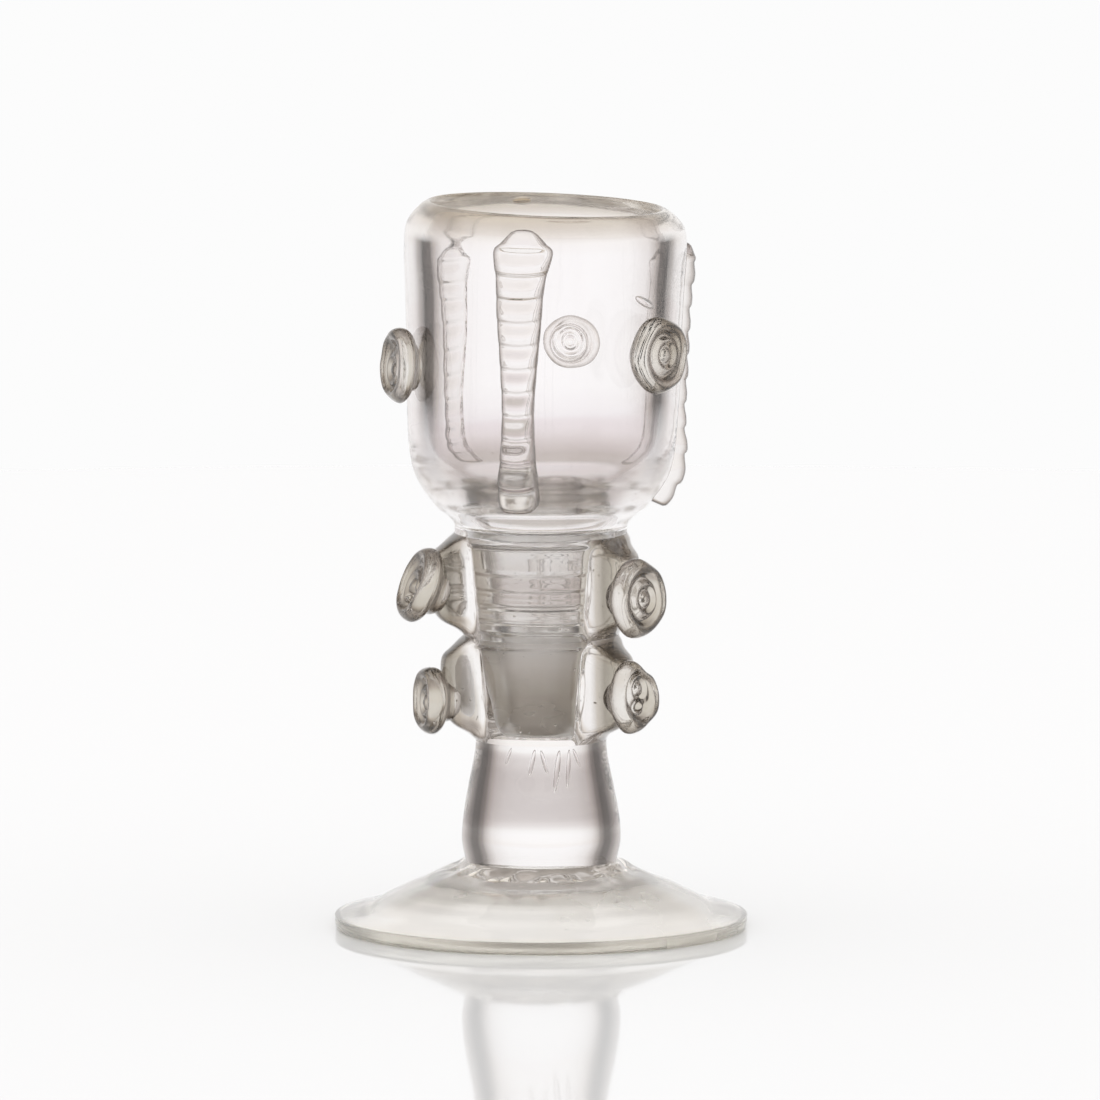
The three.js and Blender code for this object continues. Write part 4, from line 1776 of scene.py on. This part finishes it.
@dataclass
class FootedGlass:
    """The whole glass: makes every piece and fuses it to its neighbours."""

    levels: Levels
    dresser: Dresser
    trail_bearing: float = -10.5
    waist_radius: float = 17.3
    waist_bore: float = 9.9
    stem_radius: float = 14.6
    cup_bore: float = 6.6
    cup_floor: float = 1.4
    gap: float = 0.02
    prunt_radius: float = 8.6
    small_prunt_radius: float = 7.4
    back_prunt_radius: float = 6.1

    PRUNT_SHAPES = {
        "bowl_right": {"boss_shift": (1.1, 0.1), "squash": 0.97},
        "bowl_back": {"proud": 4.4, "wobble": 0.1, "squash": 1.2, "tall": 0.86},
        "bowl_left": {"bend": 1.7, "boss_shift": (0.0, -1.2), "proud": 4.8},
        "upper_knop_right": {"boss_shift": (1.0, -0.3), "squash": 0.96},
        "upper_knop_left": {"boss_shift": (-0.6, -0.9), "second_boss": (1.2, -3.6), "bend": 0.4},
        "lower_knop_right": {"boss_shift": (0.2, 2.4), "second_boss": (0.3, -2.2), "squash": 0.94, "wobble": 0.4},
        "lower_knop_left": {"boss_shift": (0.6, -0.6), "bend": 0.5},
    }
    # Rings in the upper knop's bore: the height, half the width, and how far out. The waist's fold has the last two.
    TOOL_RINGS = ((81.2, 0.5, 0.35), (76.7, 0.6, -0.4), (74.4, 0.4, 0.35), (72.6, 0.4, -0.35), (70.1, 0.5, 0.4))
    WAIST_FOLD = (1.3, -0.8)

    def knops(self, bowl: Bowl) -> tuple[Knop, Knop]:
        """The two knops, from the seams' radii and the tapering cavity.

        Args:
            bowl: the bowl that they carry.

        Returns:
            The upper and the lower knop.
        """
        upper_low, upper_high = self.levels.waist, self.levels.neck - self.gap
        lower_low, lower_high = self.levels.stem, self.levels.waist - self.gap
        floor = self.levels.stem + self.cup_floor
        upper_bore = [
            (mix(self.waist_bore, bowl.neck_bore, swell), mix(upper_low, upper_high, rise))
            for rise, swell in ((1, 1), (0.6, 0.6), (0.2, 0.15), (0, 0))
        ]
        lower_bore = [
            (mix(self.cup_bore, self.waist_bore, swell), mix(floor, lower_high, rise))
            for rise, swell in ((1, 1), (0.8, 0.85), (0.35, 0.25), (0.1, 0))
        ]
        lower_bore += [(self.cup_bore * 0.85, floor + 0.35), (self.cup_bore * 0.5, floor), (0.0, floor)]
        neck_fold = (self.levels.neck, bowl.fold_height, -bowl.fold)
        waist_fold = (self.levels.waist, *self.WAIST_FOLD)
        upper = Knop(
            "upper_knop", upper_high, upper_low, bowl.neck_radius, self.waist_radius, (7.8, 7.0, 7.4), upper_bore,
            (neck_fold, *self.TOOL_RINGS, waist_fold),
        )
        lower = Knop(
            "lower_knop", lower_high, lower_low, self.waist_radius, self.stem_radius, (8.8, 7.2, 7.0), lower_bore,
            (waist_fold,), floor=True,
        )
        return upper, lower

    def prunts_on_bowl(self, bowl: Bowl) -> list[Prunt]:
        """The bowl's three prunts, to the right, at the back and to the left.

        Args:
            bowl: the bowl that carries them.

        Returns:
            The prunts.
        """
        sides = (("right", 0.573, 0.0, self.prunt_radius), ("back", 0.53, 3.0, self.back_prunt_radius),
                 ("left", 0.52, 6.0, self.prunt_radius))
        made = []
        for i, (side, share, pitch, radius) in enumerate(sides):
            height = mix(self.levels.neck, self.levels.lip, share)
            made.append(
                Prunt(
                    f"bowl_prunt_{side}", radius, bowl.radius, height, LOBE_BEARING + i * THIRD, pitch,
                    lean=bowl.lean * share, seed=1.7 + i, **self.PRUNT_SHAPES.get(f"bowl_{side}", {}),
                )
            )
        return made

    def prunts_on_knop(self, knop: Knop, radius: float, sides: Sequence[tuple[str, float, float]]) -> list[Prunt]:
        """A knop's three prunts.

        Args:
            knop: the knop that carries them.
            radius: their radius.
            sides: each one's side, share of the knop's height and pitch.

        Returns:
            The prunts.
        """
        made = []
        for i, (side, share, pitch) in enumerate(sides):
            reach = mix(knop.bottom_radius, knop.top_radius, 0.5) + knop.reaches[i]
            height = mix(knop.bottom, knop.top, share)
            made.append(
                Prunt(
                    f"{knop.node}_prunt_{side}", radius, reach, height, knop.bearing + i * THIRD, pitch,
                    root=4.0, seed=5.1 + i + share * 7, **self.PRUNT_SHAPES.get(f"{knop.node}_{side}", {}),
                )
            )
        return made

    def fuse(self, fuser: Fuser, carrier: Bowl | Knop, gathers: Sequence[Trail | Prunt]) -> None:
        """Builds a piece and the gathers that it carries, presses them on and dresses them all.

        Args:
            fuser: presses the gathers on.
            carrier: the piece that carries them.
            gathers: its trails and prunts.
        """
        body = carrier.build()
        pressed = [gather.build() for gather in gathers]
        fuser.press(body, pressed)
        carrier.dress(body, self.dresser)
        for gather, piece in zip(gathers, pressed):
            gather.dress(piece, self.dresser)

    def build(self) -> None:
        """Makes, fuses and dresses every piece."""
        fuser = Fuser()
        bowl = Bowl(self.levels)
        trails = [
            Trail("trail_front", bowl, self.trail_bearing, 0.97, 0.118, head_lean=0.9),
            Trail("trail_right", bowl, self.trail_bearing + THIRD, 0.894, pinch=0.15),
            Trail("trail_left", bowl, self.trail_bearing - THIRD, 0.894, pinch=0.24),
        ]
        self.fuse(fuser, bowl, [*trails, *self.prunts_on_bowl(bowl)])
        upper, lower = self.knops(bowl)
        tiers = (
            (upper, self.prunt_radius, (("right", 0.45, 2.0), ("back", 0.45, 8.0), ("left", 0.475, 22.0))),
            (lower, self.small_prunt_radius, (("right", 0.485, 4.0), ("back", 0.46, 2.0), ("left", 0.405, 3.0))),
        )
        for knop, radius, sides in tiers:
            self.fuse(fuser, knop, self.prunts_on_knop(knop, radius, sides))
        for part in (Stem(self.levels), Foot(self.levels), PontilPad(self.levels)):
            part.dress(part.build(), self.dresser)


def main() -> None:
    """Builds the glass and its studio round the frame."""
    logging.basicConfig(level=logging.INFO, format="%(message)s", stream=sys.stdout)
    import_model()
    levels = Levels.from_frame(Bowl.lip_run())
    log.info("levels: %s", levels)
    studio = Studio()
    studio.camera()
    studio.depth()
    studio.table()
    studio.room()
    FootedGlass(levels, Dresser(FINISHES)).build()


if __name__ == "__main__":
    main()
